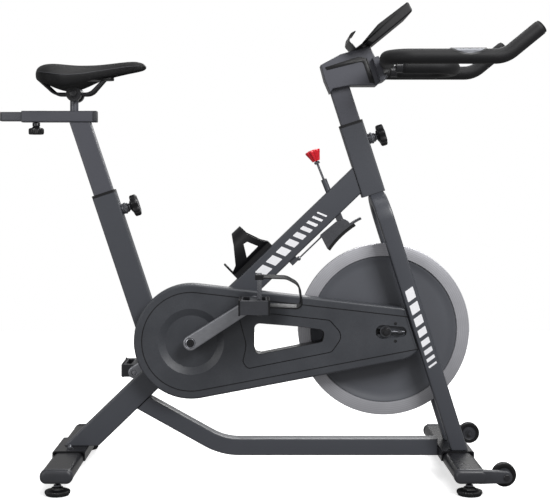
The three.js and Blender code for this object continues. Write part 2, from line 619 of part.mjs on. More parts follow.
// ---------------------------------------------------------------- handlebar
function handlebar() {
  piece('handlebar_post', prism(section(POST), BAR_POST.from, BAR_POST.to), POST_PAINT(), headFrame);
  const outline = [[130.6, 961], [177.6, 986.5], [245.6, 1007], [259.6, 978], [274, 925], [263, 912.5],
    [201.7, 912.5], [159.6, 904.5], [153.5, 894], [140, 925]];
  const { half, wall, bevel, centre, hollow: [narrow, low] } = BRACKET;
  const shell = solid(slab(polygon(outline), -half, half, bevel));
  const shrink = outline.map(([x, z]) => [centre.x + (x - centre.x) * narrow, centre.z + (z - centre.z) * low]);
  const hollow = solid(slab(polygon(shrink), wall - half, half - wall));
  const postHole = solid(reframe(prism(section({ ...POST, wall: 0 }, GAP), 200, BAR_POST.to + 6), headFrame));
  const bracket = cut(shell, hollow, postHole);
  const { back, front, half: plateHalf, rise } = BAR_PLATE;
  const plate = solid(reframe(block(back, front, -plateHalf, plateHalf, -rise, rise), tilted(BAR_PLATE, HEAD_TILT)));
  const weld = solid(sweep(circle(BAR.radius + 1.3 * GAP, 12), barRoute()));
  piece('handlebar_bracket', geometryOf(cut(join(bracket, plate), weld, hollow)), POST_PAINT());
  piece('handlebar_bar', sweep(circle(BAR.radius, 12), barRoute()), FOAM());
  piece('handlebar_loop', sweep(circle(BAR.radius, 12), loopRoute()), FOAM());
  piece('tablet_holder', geometryOf(cut(tabletHolder(), shell)), BLACK_PLASTIC());
}

function barRoute() {
  const { x, z, back, hornY, straight, tip } = BAR;
  const right = [
    [tip.x, -hornY, tip.z, 0], [straight, -hornY, z, 60], [back, -hornY, z, 50], [x, -36, z, 60],
  ];
  const left = right.slice().reverse().map(([a, b, c, r]) => [a, -b, c, r]);
  return bentRoute([...right, ...left], 5);
}

function loopRoute() {
  const { y, z, front } = LOOP;
  const start = BAR.x + BAR.radius + GAP;
  return bentRoute([[start, -y, z, 0], [front, -y, z, y - 2], [front, y, z, y - 2], [start, y, z, 0]], 8);
}

function tabletHolder() {
  const outline = polygon([
    [342, 1086], [329, 1104], [229, 1013], [213, 999], [203, 1024], [212, 1036], [209, 1039],
    [196, 1025], [210, 991], [232, 1006.5], [249, 1003],
  ]);
  return solid(slab(outline, -TABLET_HALF, TABLET_HALF));
}

// ---------------------------------------------------------------- drive
function cranks() {
  const { length, angle, inner, thick, boss, eye: eyeRadius } = CRANK_ARM;
  piece('crank_spindle', rod(SPINDLE.radius, -SPINDLE.half, SPINDLE.half), STEEL()).position.set(CRANK.x, 0, CRANK.z);
  for (const [label, side, turn] of [['right', -1, 0], ['left', 1, 180]]) {
    const a = rad(angle + turn);
    const end = { x: length * Math.cos(a), z: length * Math.sin(a) };
    const span = side < 0 ? [-inner - thick, -inner] : [inner, inner + thick];
    const arm = solid(slab(beltOutline(THREE.Shape, { x: 0, z: 0 }, boss, end, eyeRadius, 16), ...span, 2));
    const bore = solid(rod(SPINDLE.radius + GAP, -HUGE, HUGE));
    const eye = solid(rod(PEDAL.axle + GAP, -HUGE, HUGE, 20).translate(end.x, 0, end.z));
    piece(`crank_${label}`, geometryOf(cut(arm, bore, eye)), MACHINED()).position.set(CRANK.x, 0, CRANK.z);
    pedal(label, side, { x: CRANK.x + end.x, z: CRANK.z + end.z });
  }
}

function pedal(label, side, at) {
  const { inner, outer, back, front, half } = PEDAL;
  const flip = (lo, hi) => (side < 0 ? [-hi, -lo] : [lo, hi]);
  const frame = solid(block(-back, front, ...flip(inner, outer), -half, half));
  const windows = [[-back + 8, -12], [12, front - 8]].map(([x0, x1]) =>
    solid(block(x0, x1, ...flip(inner + 10, outer - 12), -HUGE, HUGE)));
  const spindle = solid(rod(PEDAL.axle, ...flip(CRANK_ARM.inner + 1, inner + 5), 20));
  const body = join(cut(frame, ...windows), spindle);
  const pedalFrame = new THREE.Group(); // on the pedal's own axis
  pedalFrame.position.set(at.x, 0, at.z);
  group.add(pedalFrame);
  piece(`pedal_${label}`, geometryOf(body), BLACK_PLASTIC(), pedalFrame);
  const middle = (inner + outer) / 2;
  const cage = toeCage().translate(0, side * middle, 0);
  piece(`toe_cage_${label}`, cage, BLACK_PLASTIC(), pedalFrame);
  const { from, to, thick, height, clear } = STRAP;
  const tall = height + half + clear;
  const wide = outer - inner + 2 * clear;
  const loop = roundedOutline(new THREE.Shape(), tall + 2 * thick, wide + 2 * thick, 3);
  loop.holes.push(roundedOutline(new THREE.Path(), tall, wide, 0.8));
  const strap = prism(loop, from, to).rotateY(Math.PI / 2).translate(0, side * middle, height - tall / 2);
  piece(`toe_strap_${label}`, strap, BLACK_PLASTIC(), pedalFrame);
}

// a band that runs forward from the pedal and curls back over the shoe's toe
function toeCage() {
  const ahead = PEDAL.front + GAP;
  const outline = { depth: CAGE.thick, width: CAGE.width, corner: 1.5 };
  const route = bentRoute([
    [ahead, 0, 0, 0], [107, 0, -3, 12], [100, 0, 48, 26], [72, 0, 63, 30], [10, 0, 65, 0],
  ], 5);
  return sweep(section(outline, 0, 2), route, v3(0, 1, 0));
}

function driveTrain() {
  const { y, width, thick, drive, driven } = BELT;
  const half = width / 2;
  const [bore, hub, rim, web] = [SPINDLE.radius + GAP, 22, drive - 9, 3];
  const pulley = turned([
    [bore, -half], [hub, -half], [hub, -web], [rim, -web], [rim, -half], [drive, -half],
    [drive, half], [rim, half], [rim, web], [hub, web], [hub, half], [bore, half], [bore, -half],
  ], 40).translate(0, y, 0);
  piece('drive_pulley', pulley, BLACK_PLASTIC()).position.set(CRANK.x, 0, CRANK.z);
  const inner = beltOutline(THREE.Path, CRANK, drive + GAP, HUB, driven + GAP, 40);
  const belt = beltOutline(THREE.Shape, CRANK, drive + thick, HUB, driven + thick, 40);
  belt.holes.push(inner);
  piece('drive_belt', slab(belt, y - half + 1, y + half - 1), RUBBER());
  const wheelBore = AXLE.radius + RUNNING;
  const hubFace = -FLYWHEEL.hubHalf - GAP - y;
  const neck = 18;
  const wheelPulley = turned([
    [wheelBore, -half], [driven, -half], [driven, half], [neck, half], [neck, hubFace],
    [wheelBore, hubFace], [wheelBore, -half],
  ], 28).translate(0, y, 0);
  piece('flywheel_pulley', wheelPulley, BLACK_PLASTIC()).position.set(HUB.x, 0, HUB.z);
}

function flywheel() {
  const { radius, rimInner, rim, web, hub, hubHalf } = FLYWHEEL;
  const bore = AXLE.radius + RUNNING;
  const disc = turned([
    [bore, -hubHalf], [hub, -hubHalf], [hub, -web], [rimInner, -web], [rimInner, -rim], [radius, -rim],
    [radius, rim], [rimInner, rim], [rimInner, web], [hub, web], [hub, hubHalf], [bore, hubHalf], [bore, -hubHalf],
  ], 48);
  piece('flywheel', disc, MACHINED()).position.set(HUB.x, 0, HUB.z);
  const face = DROPOUT.y + DROPOUT.thick / 2 + GAP;
  const nuts = [[-face - 10, -face], [face, face + 10]].map((span) => solid(rod(11, ...span, 6)));
  const axle = join(solid(rod(AXLE.radius, -AXLE.half, AXLE.half, 24)), ...nuts);
  piece('flywheel_axle', geometryOf(axle), STEEL()).position.set(HUB.x, 0, HUB.z);
  const bolt = join(solid(alongX(rod(3, 12, 43, 14))), solid(alongX(rod(5.6, 27, 36, 6))));
  piece('belt_adjuster', geometryOf(bolt), STEEL()).position.set(HUB.x, -face - 6.2, HUB.z);
}

function driveCover() {
  const { radius, reach, taper, rise, face, back, wall } = COVER;
  const tip = { x: CRANK.x + reach * Math.cos(rad(rise)), z: CRANK.z + reach * Math.sin(rad(rise)) };
  const tipRadius = radius - reach * Math.sin(rad(taper));
  const outline = (inset) => beltOutline(THREE.Shape, CRANK, radius - inset, tip, tipRadius - inset, 36);
  const ahead = solid(reframe(block(-LEG.depth / 2 - 1.2, HUGE, -HUGE, HUGE, -HUGE, HUGE), forkFrame));
  const windowShape = (grow) => polygon([
    [-26 - grow, 348 + grow], [-14, 356 + grow], [76, 349 + grow], [128, 341 + grow], [141 + grow, 330],
    [132 + grow, 312 - grow], [-8, 284.5 - grow], [-22, 288 - grow], [-26 - grow, 298],
  ]);
  const opening = solid(slab(windowShape(0), -100, 0));
  const sleeve = solid(slab(windowShape(wall), face + 1, back));
  const slotShape = beltOutline(THREE.Shape, { x: HUB.x - 8, z: HUB.z }, 16, { x: HUB.x + 34, z: HUB.z }, 12, 20);
  const slot = solid(slab(slotShape, face - 5, face + 8));
  const shaft = solid(rod(14, -100, 0, 32).translate(CRANK.x, 0, CRANK.z));
  const outer = solid(slab(outline(0), face, back + 7, 6));
  const skirt = cut(outer, solid(block(-HUGE, HUGE, back, 100, 0, 900)));
  const cavity = solid(slab(outline(wall), face + wall, 100));
  const shell = cut(join(cut(skirt, cavity), sleeve), opening, slot, shaft, ahead);
  piece('drive_cover', geometryOf(shell), COVER_PLASTIC());
  const plate = solid(slab(outline(0), back + GAP, -TUBE.width / 2 - GAP));
  const shellHole = solid(rod(SHELL.outer + GAP, -100, 0, 32).translate(CRANK.x, 0, CRANK.z));
  const hubHole = solid(rod(20, -100, 0, 32).translate(HUB.x, 0, HUB.z));
  const backPlate = cut(plate, opening, shellHole, hubHole, ahead);
  piece('drive_cover_back', geometryOf(backPlate), BLACK_PLASTIC());
}

// ---------------------------------------------------------------- bottle cage
function bottleCage() {
  // drawn in the spine's frame: Z runs up the tube and -X points away from its top face
  const top = TUBE.depth / 2 + GAP;
  const { bottle, wall, low, high, half } = CAGE_HOOP;
  const axis = -(top + CAGE_HOOP.top + bottle);
  const outline = [[low, top], [low, 47], [195, 54], [225, 92], [243, 120], [266, 120], [266, 92], [279, 57],
    [high, 42], [high, top]];
  const side = solid(slab(polygon(outline.map(([u, v]) => [-v, u]).reverse()), -half, half));
  const opening = solid(slab(polygon([[-79, 243], [-76, 255], [-49, 266], [-48, 225]].reverse()), -80, 80));
  const ring = solid(alongZ(tubeRing(bottle, bottle + wall, low - 8, high + 10, 40)).translate(axis, 0, 0));
  const bore = solid(alongZ(rod(bottle, 100, 400, 40)).translate(axis, 0, 0));
  const strip = cut(solid(block(-top - 14, -top, -11, 11, low, high)), bore);
  const lip = solid(block(-75, -top, -13, 13, low - 2.5, low + 1));
  const cage = join(cut(ring.intersect(side), opening), strip, lip);
  piece('bottle_cage', geometryOf(cage), BLACK_PLASTIC(), spineFrame);
}

// ---------------------------------------------------------------- brake
// a point turned about another, anticlockwise as seen from the rider's right
function turnedAbout(pivot, point, degrees) {
  const c = Math.cos(rad(degrees));
  const d = Math.sin(rad(degrees));
  const x = point.x - pivot.x;
  const z = point.z - pivot.z;
  return { x: pivot.x + x * c - z * d, z: pivot.z + x * d + z * c };
}

function arcPoints(centre, radius, from, to, steps) {
  const points = [];
  for (let i = 0; i <= steps; i += 1) {
    const a = rad(from + ((to - from) * i) / steps);
    points.push([centre.x + radius * Math.cos(a), centre.z + radius * Math.sin(a)]);
  }
  return points;
}

function brake() {
  const { from, to, half } = PLUNGER;
  const screwEnd = from + 9;
  const knob = alongZ(turned([[0, 0], [16.5, 0], [18.5, 2.5], [9.5, 27], [3, 27], [3, screwEnd], [0, screwEnd]], 20));
  piece('brake_knob', knob, RED_PLASTIC(), brakeFrame);
  const screwHole = alongZ(rod(3 + GAP, from - 5, screwEnd + 1, 16));
  const plunger = cut(solid(block(-half, half, -half, half, from, to)), solid(screwHole));
  piece('brake_plunger', geometryOf(plunger), STEEL(), brakeFrame);

  // the pad's arc fits the rim once the arm has swung down
  const centre = turnedAbout(BRAKE_PIVOT, HUB, BRAKE_SWING);
  const outer = PAD.radius + PAD.thick;
  const pad = polygon([
    ...arcPoints(centre, PAD.radius, PAD.from, PAD.to, 10),
    ...arcPoints(centre, outer, PAD.to, PAD.from, 10),
  ]);
  piece('brake_pad', slab(pad, -PAD.half, PAD.half), RUBBER());
  const arm = polygon([
    [78.6, 503.3], [80.3, 501.5], [134, 553.1],
    ...arcPoints(centre, outer + GAP, PAD.to, 116.5, 12),
    ...arcPoints(centre, outer + 6, 116.5, 124, 4),
    [195, 594], [187.9, 597.9], [168.8, 590.2], [132, 559.5], [130.3, 553.1],
  ]);
  piece('brake_arm', slab(arm, -PAD.half, PAD.half), STEEL());
}

const builders = [spineTube, seatTube, headTube, fork, lowerTube, bottomBracket, transportWheels, seatPost,
  seatSlider, saddle, sliderKnob, handlebar, cranks, driveTrain, flywheel, driveCover, bottleCage, brake];
for (const build of builders) build();
stabiliser('rear', FOOT_LINE.rear);
stabiliser('front', FOOT_LINE.front);
popPin('seat', seatFrame, PIN_HEIGHT.seat);
popPin('handlebar', headFrame, PIN_HEIGHT.handlebar);

export default group;
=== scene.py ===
"""Looks of an indoor cycling bike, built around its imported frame.

Each sub-assembly is a class that holds its sizes in millimetres and has methods that build and dress its
pieces.
Places come from the frame: the boxes of its nodes and the axes of its joints.
"""
import json
import logging
import math
from dataclasses import dataclass
from enum import Enum
from typing import Callable, ClassVar, Iterable, Sequence

import bmesh
import bpy
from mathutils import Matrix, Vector


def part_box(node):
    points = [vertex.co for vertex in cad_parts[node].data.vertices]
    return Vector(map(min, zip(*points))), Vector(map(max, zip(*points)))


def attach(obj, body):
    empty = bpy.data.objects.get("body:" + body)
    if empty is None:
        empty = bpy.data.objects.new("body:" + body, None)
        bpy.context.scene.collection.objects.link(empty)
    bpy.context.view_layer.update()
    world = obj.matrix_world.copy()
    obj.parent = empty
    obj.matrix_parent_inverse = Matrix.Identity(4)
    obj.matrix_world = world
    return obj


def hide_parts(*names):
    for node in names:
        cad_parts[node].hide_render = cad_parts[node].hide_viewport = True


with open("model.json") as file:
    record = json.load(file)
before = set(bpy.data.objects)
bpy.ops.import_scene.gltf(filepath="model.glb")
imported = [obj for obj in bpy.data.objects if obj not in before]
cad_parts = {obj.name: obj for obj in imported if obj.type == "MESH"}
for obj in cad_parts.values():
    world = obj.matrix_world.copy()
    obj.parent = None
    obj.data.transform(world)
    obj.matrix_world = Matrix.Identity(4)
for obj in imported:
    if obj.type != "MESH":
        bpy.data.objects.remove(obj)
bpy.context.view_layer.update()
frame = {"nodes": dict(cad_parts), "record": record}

Tree, Node, Socket = bpy.types.NodeTree, bpy.types.Node, bpy.types.NodeSocket

MM = 0.001
ACROSS = Vector((0, 1, 0))
FORWARD = Vector((1, 0, 0))
UP = Vector((0, 0, 1))
SHARP = math.radians(38)
log = logging.getLogger("bike")

Outline = list[tuple[float, float]]
JOINTS = {joint["name"]: joint for joint in frame["record"]["behaviour"]["joints"]}


# ---------------------------------------------------------------- working frames and outlines
@dataclass(frozen=True)
class Axes:
    """A working frame: an origin in metres and three unit directions."""

    origin: Vector
    u: Vector
    v: Vector
    w: Vector

    def at(self, u: float, v: float, w: float) -> Vector:
        """Point u, v and w millimetres along the three directions."""
        return self.origin + (self.u * u + self.v * v + self.w * w) * MM


def side_view(origin: Vector) -> Axes:
    """Side view of the bike: u to the front, v up, w to the rider's left."""
    return Axes(origin, FORWARD, UP, ACROSS)


def along(origin: Vector, up: Vector) -> Axes:
    """Side view turned so that v runs along a tube and u ahead of it."""
    v = up.normalized()
    return Axes(origin, ACROSS.cross(v).normalized(), v, ACROSS)


def spun(origin: Vector, axis: Vector) -> Axes:
    """Frame whose w runs along an axis of rotation."""
    w = axis.normalized()
    u = ACROSS.cross(w) if abs(w.y) < 0.9 else FORWARD
    return Axes(origin, u.normalized(), w.cross(u).normalized(), w)


def joint_place(name: str) -> Vector:
    """Where a hinge of the frame turns, in metres."""
    return Vector(JOINTS[name]["pos_m"])


def joint_axis(name: str) -> Vector:
    """Direction of a joint of the frame."""
    return Vector(JOINTS[name]["axis"])


def middle(node: str) -> Vector:
    """Middle of a frame node's box, in metres."""
    low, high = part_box(node)
    return (low + high) / 2


def rounded(corners: Sequence[tuple[float, float, float]], step: float = 15) -> Outline:
    """Outline with round corners.

    Args:
        corners: x, y and radius of each corner, anticlockwise or clockwise.
        step: degrees between two points of an arc.

    Returns:
        The outline's points.
    """
    points: Outline = []
    for i, (x, y, radius) in enumerate(corners):
        here = Vector((x, y))
        if radius <= 0:
            points.append((x, y))
            continue
        before = (Vector(corners[i - 1][:2]) - here).normalized()
        after = (Vector(corners[(i + 1) % len(corners)][:2]) - here).normalized()
        half = before.angle(after) / 2
        start = here + before * (radius / math.tan(half))
        centre = here + (before + after).normalized() * (radius / math.sin(half))
        turn = (math.pi - 2 * half) * (1 if before.cross(after) < 0 else -1)
        count = max(2, math.ceil(abs(math.degrees(turn)) / step))
        arm = start - centre
        for k in range(count + 1):
            a = turn * k / count
            points.append((centre.x + arm.x * math.cos(a) - arm.y * math.sin(a),
                           centre.y + arm.x * math.sin(a) + arm.y * math.cos(a)))
    return points


def rectangle(x0: float, x1: float, y0: float, y1: float, radius: float = 0) -> Outline:
    """Rectangle with round corners."""
    return rounded([(x0, y0, radius), (x1, y0, radius), (x1, y1, radius), (x0, y1, radius)])


def circle(radius: float, count: int = 24, lobes: int = 0, dip: float = 0) -> Outline:
    """Circle, or a lobed knob's outline when lobes is given."""
    points = []
    for i in range(count):
        a = 2 * math.pi * i / count
        r = radius - dip * (1 - math.cos(lobes * a)) / 2
        points.append((r * math.cos(a), r * math.sin(a)))
    return points


def belt(first: Vector, first_radius: float, second: Vector, second_radius: float,
    steps: int = 64) -> Outline:
    """Outline around two circles joined by their outer tangents, as a belt lies."""
    line = second - first
    base = math.atan2(line.y, line.x)
    half = math.acos((first_radius - second_radius) / line.length)
    ends = [(first, first_radius, half, 2 * math.pi - half, steps),
            (second, second_radius, -half, half, steps // 2)]
    points = []
    for centre, radius, start, stop, count in ends:
        for i in range(count + 1):
            a = base + start + (stop - start) * i / count
            points.append((centre.x + radius * math.cos(a), centre.y + radius * math.sin(a)))
    return points


def inset(outline: Outline, distance: float) -> Outline:
    """Outline moved inwards by a distance, or outwards by a negative one."""
    count = len(outline)
    area = sum(outline[i - 1][0] * outline[i][1] - outline[i][0] * outline[i - 1][1] for i in range(count))
    sign = 1 if area > 0 else -1
    moved = []
    for i in range(count):
        here = Vector(outline[i])
        before = (here - Vector(outline[i - 1])).normalized()
        after = (Vector(outline[(i + 1) % count]) - here).normalized()
        normals = [Vector((-d.y, d.x)) * sign for d in (before, after)]
        mean = normals[0] + normals[1]
        reach = distance * 2 / max(mean.length_squared, 0.5)
        moved.append(tuple(here + mean * reach))
    return moved


def route(corners: Sequence[tuple[float, float, float, float]], axes: Axes, steps: int = 10) -> list[Vector]:
    """Line through corners, each with a bend of its own radius.

    Args:
        corners: u, v, w and bend radius of each corner, in millimetres.
        axes: the frame that the corners are in.
        steps: points in each bend, less one.

    Returns:
        Points in metres.
    """
    points: list[Vector] = []
    for i, (u, v, w, radius) in enumerate(corners):
        here = axes.at(u, v, w)
        if radius <= 0:
            points.append(here)
            continue
        before = (axes.at(*corners[i - 1][:3]) - here).normalized()
        after = (axes.at(*corners[i + 1][:3]) - here).normalized()
        half = before.angle(after) / 2
        start = here + before * (radius * MM / math.tan(half))
        centre = here + (before + after).normalized() * (radius * MM / math.sin(half))
        across = before.cross(after).normalized()
        arm = start - centre
        swing = math.pi - 2 * half
        for k in range(steps + 1):
            a = -swing * k / steps
            points.append(centre + arm * math.cos(a) + across.cross(arm) * math.sin(a))
    return points


# ---------------------------------------------------------------- mesh work
class Shape:
    """Mesh of one piece while it is being made, in metres in the bike's frame."""

    def __init__(self) -> None:
        """Starts an empty mesh."""
        self.mesh = bmesh.new()

    def loft(self, rings: Sequence[Sequence[Vector]], caps: bool = True) -> "Shape":
        """Skins rings of equal length, and closes the two ends when caps is true."""
        rows = [[self.mesh.verts.new(point) for point in ring] for ring in rings]
        for low, high in zip(rows, rows[1:]):
            for i in range(len(low)):
                self.mesh.faces.new((low[i - 1], low[i], high[i], high[i - 1]))
        if caps:
            self.mesh.faces.new(list(reversed(rows[0])))
            self.mesh.faces.new(rows[-1])
        return self

    def slab(self, outline: Outline, axes: Axes, low: float, high: float, edge: float = 0,
             arc: int = 3, rims: tuple[bool, bool] = (True, True)) -> "Shape":
        """Pushes an outline along w from low to high.

        Args:
            outline: points in u and v.
            axes: the frame that the outline is drawn in.
            low: start along w, in millimetres.
            high: end along w, in millimetres.
            edge: radius of the rounded rims.
            arc: steps in a rounded rim.
            rims: whether the rims at low and at high are rounded.

        Returns:
            This shape.
        """
        turns = [math.pi / 2 * k / arc for k in range(arc + 1)] if edge else []
        start = [(edge * (1 - math.sin(a)), low + edge * (1 - math.cos(a))) for a in turns]
        stop = [(edge * (1 - math.sin(a)), high - edge * (1 - math.cos(a))) for a in reversed(turns)]
        levels = (start if edge and rims[0] else [(0, low)]) + (stop if edge and rims[1] else [(0, high)])
        rings = []
        for distance, w in levels:
            ring = inset(outline, distance) if distance else outline
            rings.append([axes.at(u, v, w) for u, v in ring])
        return self.loft(rings)

    def hoop(self, outline: Outline, thick: float, axes: Axes, low: float, high: float) -> "Shape":
        """Pushes a band, thick millimetres in from an outline, along w from low to high."""
        inner = inset(outline, thick)
        rings = [[axes.at(u, v, w) for u, v in line] for line, w in
                 ((outline, low), (outline, high), (inner, high), (inner, low), (outline, low))]
        made = Shape().loft(rings, caps=False)
        bmesh.ops.remove_doubles(made.mesh, verts=made.mesh.verts, dist=1e-6)
        return self.take(made)

    def lathe(self, profile: Sequence[tuple[float, float]], axes: Axes, count: int = 64,
              lobes: int = 0, dip: float = 0) -> "Shape":
        """Turns a profile of (radius, height) rows round w; lobes and dip flute its rim."""
        made = Shape()
        rings = []
        for radius, height in profile:
            share = radius / max(r for r, _ in profile)
            ring = circle(radius, count, lobes, dip * share)
            rings.append([axes.at(u, v, height) for u, v in ring])
        made.loft(rings, caps=False)
        bmesh.ops.remove_doubles(made.mesh, verts=made.mesh.verts, dist=1e-6)
        return self.take(made)

    def sweep(self, points: Sequence[Vector], outline: Outline, side: Vector,
              grow: Callable[[float], float] = lambda share: 1) -> "Shape":
        """Carries an outline along points.

        Args:
            points: the route, in metres.
            outline: section, x along side and y square to it.
            side: direction of the section's x at the start.
            grow: the section's scale at a share of the route.

        Returns:
            This shape.
        """
        rings = []
        last = len(points) - 1
        x = side
        for i, point in enumerate(points):
            ahead = (points[min(i + 1, last)] - points[max(i - 1, 0)]).normalized()
            x = (x - ahead * x.dot(ahead)).normalized()
            y = ahead.cross(x)
            k = grow(i / last) * MM
            rings.append([point + x * (a * k) + y * (b * k) for a, b in outline])
        return self.loft(rings)

    def take(self, other: "Shape") -> "Shape":
        """Adds another shape's faces to this one."""
        carrier = bpy.data.meshes.new("carrier")
        other.mesh.to_mesh(carrier)
        other.mesh.free()
        self.mesh.from_mesh(carrier)
        bpy.data.meshes.remove(carrier)
        return self

    def _solid(self, name: str) -> bpy.types.Object:
        """This shape as an object with its faces pointing out."""
        bmesh.ops.recalc_face_normals(self.mesh, faces=self.mesh.faces)
        data = bpy.data.meshes.new(name)
        self.mesh.to_mesh(data)
        self.mesh.free()
        made = bpy.data.objects.new(name, data)
        bpy.context.scene.collection.objects.link(made)
        return made

    def combine(self, other: "Shape", operation: str = "DIFFERENCE") -> "Shape":
        """Cuts another closed shape out of this one, or joins or intersects the two."""
        body, tool = self._solid("body"), other._solid("tool")
        change = body.modifiers.new("combine", "BOOLEAN")
        change.object, change.operation, change.solver = tool, operation, "EXACT"
        result = bpy.data.meshes.new_from_object(body.evaluated_get(bpy.context.evaluated_depsgraph_get()))
        self.mesh = bmesh.new()
        self.mesh.from_mesh(result)
        for spent in (body, tool):
            data = spent.data
            bpy.data.objects.remove(spent)
            bpy.data.meshes.remove(data)
        bpy.data.meshes.remove(result)
        return self

    def place(self, name: str, body: str, finish: "Finish", replaces: Sequence[str] = (),
              soften: float = 0, crease: float = SHARP) -> bpy.types.Object:
        """Turns the shape into a finished piece of the bike.

        Args:
            name: the piece's name.
            body: the body that it rides on.
            finish: its finish.
            replaces: frame nodes that it stands for.
            soften: radius of its broken edges, in millimetres.
            crease: angle between faces above which their edge stays sharp.

        Returns:
            The piece.
        """
        piece = self._solid(name)
        piece.data.shade_smooth()
        piece.data.set_sharp_from_angle(angle=crease)
        if soften:
            bevel = piece.modifiers.new("broken_edges", "BEVEL")
            bevel.width, bevel.segments, bevel.angle_limit = soften * MM, 2, SHARP
            normals = piece.modifiers.new("flat_faces", "WEIGHTED_NORMAL")
            normals.keep_sharp = True
        piece.data.materials.append(finish.material())
        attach(piece, body)
        if replaces:
            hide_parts(*replaces)
        log.info("%s rides on %s in %s", name, body, finish.name)
        return piece


def shading_group() -> Tree:
    """Geometry nodes that shade a faceted solid smooth except over its sharp edges."""
    found = bpy.data.node_groups.get("smooth_by_angle")
    if found:
        return found
    tree = bpy.data.node_groups.new("smooth_by_angle", "GeometryNodeTree")
    for way in ("INPUT", "OUTPUT"):
        tree.interface.new_socket("Geometry", in_out=way, socket_type="NodeSocketGeometry")
    start = add_node(tree, "NodeGroupInput")
    plain = add_node(tree, "GeometryNodeRemoveAttribute", {"Geometry": start.outputs[0],
        "Name": "custom_normal"})
    smooth = add_node(tree, "GeometryNodeSetShadeSmooth", {"Geometry": plain.outputs[0],
        "Shade Smooth": True})
    angle = add_node(tree, "GeometryNodeInputMeshEdgeAngle")
    sharp = add_node(tree, "FunctionNodeCompare", {0: angle.outputs[0], 1: SHARP}, operation="GREATER_THAN")
    creased = add_node(tree, "GeometryNodeSetShadeSmooth", {
        "Geometry": smooth.outputs[0], "Selection": sharp.outputs[0], "Shade Smooth": False}, domain="EDGE")
    add_node(tree, "NodeGroupOutput", {0: creased.outputs[0]})
    return tree


def dress(nodes: Iterable[str], finish: "Finish", soften: float = 0) -> None:
    """Gives frame nodes their finish, smooth round faces and broken edges.

    Args:
        nodes: the frame nodes that stay in view.
        finish: the finish that they share.
        soften: radius of the broken edges, in millimetres.
    """
    for name in nodes:
        node = frame["nodes"][name]
        weld = node.modifiers.new("weld", "WELD")
        weld.merge_threshold = 0.002 * MM
        flat = node.modifiers.new("flat", "DECIMATE")
        flat.decimate_type, flat.angle_limit = "DISSOLVE", math.radians(0.5)
        if soften:
            bevel = node.modifiers.new("broken_edges", "BEVEL")
            bevel.width, bevel.segments, bevel.angle_limit = soften * MM, 2, SHARP
        shade = node.modifiers.new("shade", "NODES")
        shade.node_group = shading_group()
        normals = node.modifiers.new("flat_faces", "WEIGHTED_NORMAL")
        normals.keep_sharp = True
        for holder in node.material_slots:
            holder.material = finish.material()
        log.info("%s stays, in %s", name, finish.name)


# ---------------------------------------------------------------- finishes
def linear(colour: str) -> tuple[float, float, float, float]:
    """An sRGB hex colour as linear red, green, blue and alpha."""
    parts = [int(colour[i:i + 2], 16) / 255 for i in (0, 2, 4)]
    low, knee, slope, power = 12.92, 0.04045, 1.055, 2.4
    values = [c / low if c <= knee else ((c + slope - 1) / slope) ** power for c in parts]
    return (*values, 1.0)


def add_node(tree: Tree, kind: str, inputs: dict | None = None, **settings) -> Node:
    """Adds one node to a tree.

    Args:
        tree: the node tree.
        kind: the node's type.
        inputs: for each input's name or number, a value, or the output to link to it.
        **settings: the node's own properties.

    Returns:
        The node.
    """
    node = tree.nodes.new(kind)
    for key, value in settings.items():
        setattr(node, key, value)
    for key, value in (inputs or {}).items():
        if isinstance(value, Socket):
            tree.links.new(value, node.inputs[key])
        else:
            node.inputs[key].default_value = value
    return node


def per_metre(size: float) -> float:
    """Texture scale whose features are size millimetres across."""
    return 1000 / size


@dataclass(frozen=True)
class Finish:
    """A material and how its surface was made."""

    name: str
    slot: str
    colour: str
    roughness: float
    tint: str = ""
    metallic: float = 0.0
    grain: float = 3.0
    relief: float = 0.05
    specular: float = 0.5
    made: ClassVar[dict[str, bpy.types.Material]] = {}

    def material(self) -> bpy.types.Material:
        """The finish's material, made once."""
        if self.name not in Finish.made:
            material = bpy.data.materials.new(self.name)
            material.use_nodes = True
            tree = material.node_tree
            tree.nodes.clear()
            shader = add_node(tree, "ShaderNodeBsdfPrincipled", {
                "Base Color": linear(self.colour), "Roughness": self.roughness, "Metallic": self.metallic,
                "Specular IOR Level": self.specular})
            add_node(tree, "ShaderNodeOutputMaterial", {"Surface": shader.outputs[0]})
            place = add_node(tree, "ShaderNodeTexCoord").outputs["Object"]
            self.detail(tree, shader, place)
            Finish.made[self.name] = material
        return Finish.made[self.name]

    def detail(self, tree: Tree, shader: Node, place: Socket) -> None:
        """Adds the finish's own pattern; each kind of finish says what it is."""

    def shade(self, tree: Tree, shader: Node, mask: Socket,
              spread: float = 0.06) -> None:
        """Varies colour from colour to tint, and roughness by spread, with a mask from 0 to 1."""
        mix = add_node(tree, "ShaderNodeMix", {"Factor": mask}, data_type="RGBA")
        for key, end in (("A", self.colour), ("B", self.tint or self.colour)):
            socket = [s for s in mix.inputs if s.name == key and s.type == "RGBA"][0]
            socket.default_value = linear(end)
        colour = [s for s in mix.outputs if s.type == "RGBA"][0]
        tree.links.new(colour, shader.inputs["Base Color"])
        rough = add_node(tree, "ShaderNodeMapRange", {
            "Value": mask, "To Min": self.roughness - spread, "To Max": self.roughness + spread})
        tree.links.new(rough.outputs[0], shader.inputs["Roughness"])

    def emboss(self, tree: Tree, shader: Node, height: Socket,
               depth: float) -> None:
        """Raises the surface by a height map, depth millimetres at most."""
        bump = add_node(tree, "ShaderNodeBump", {"Height": height, "Strength": 1.0, "Distance": depth * MM})
        tree.links.new(bump.outputs[0], shader.inputs["Normal"])


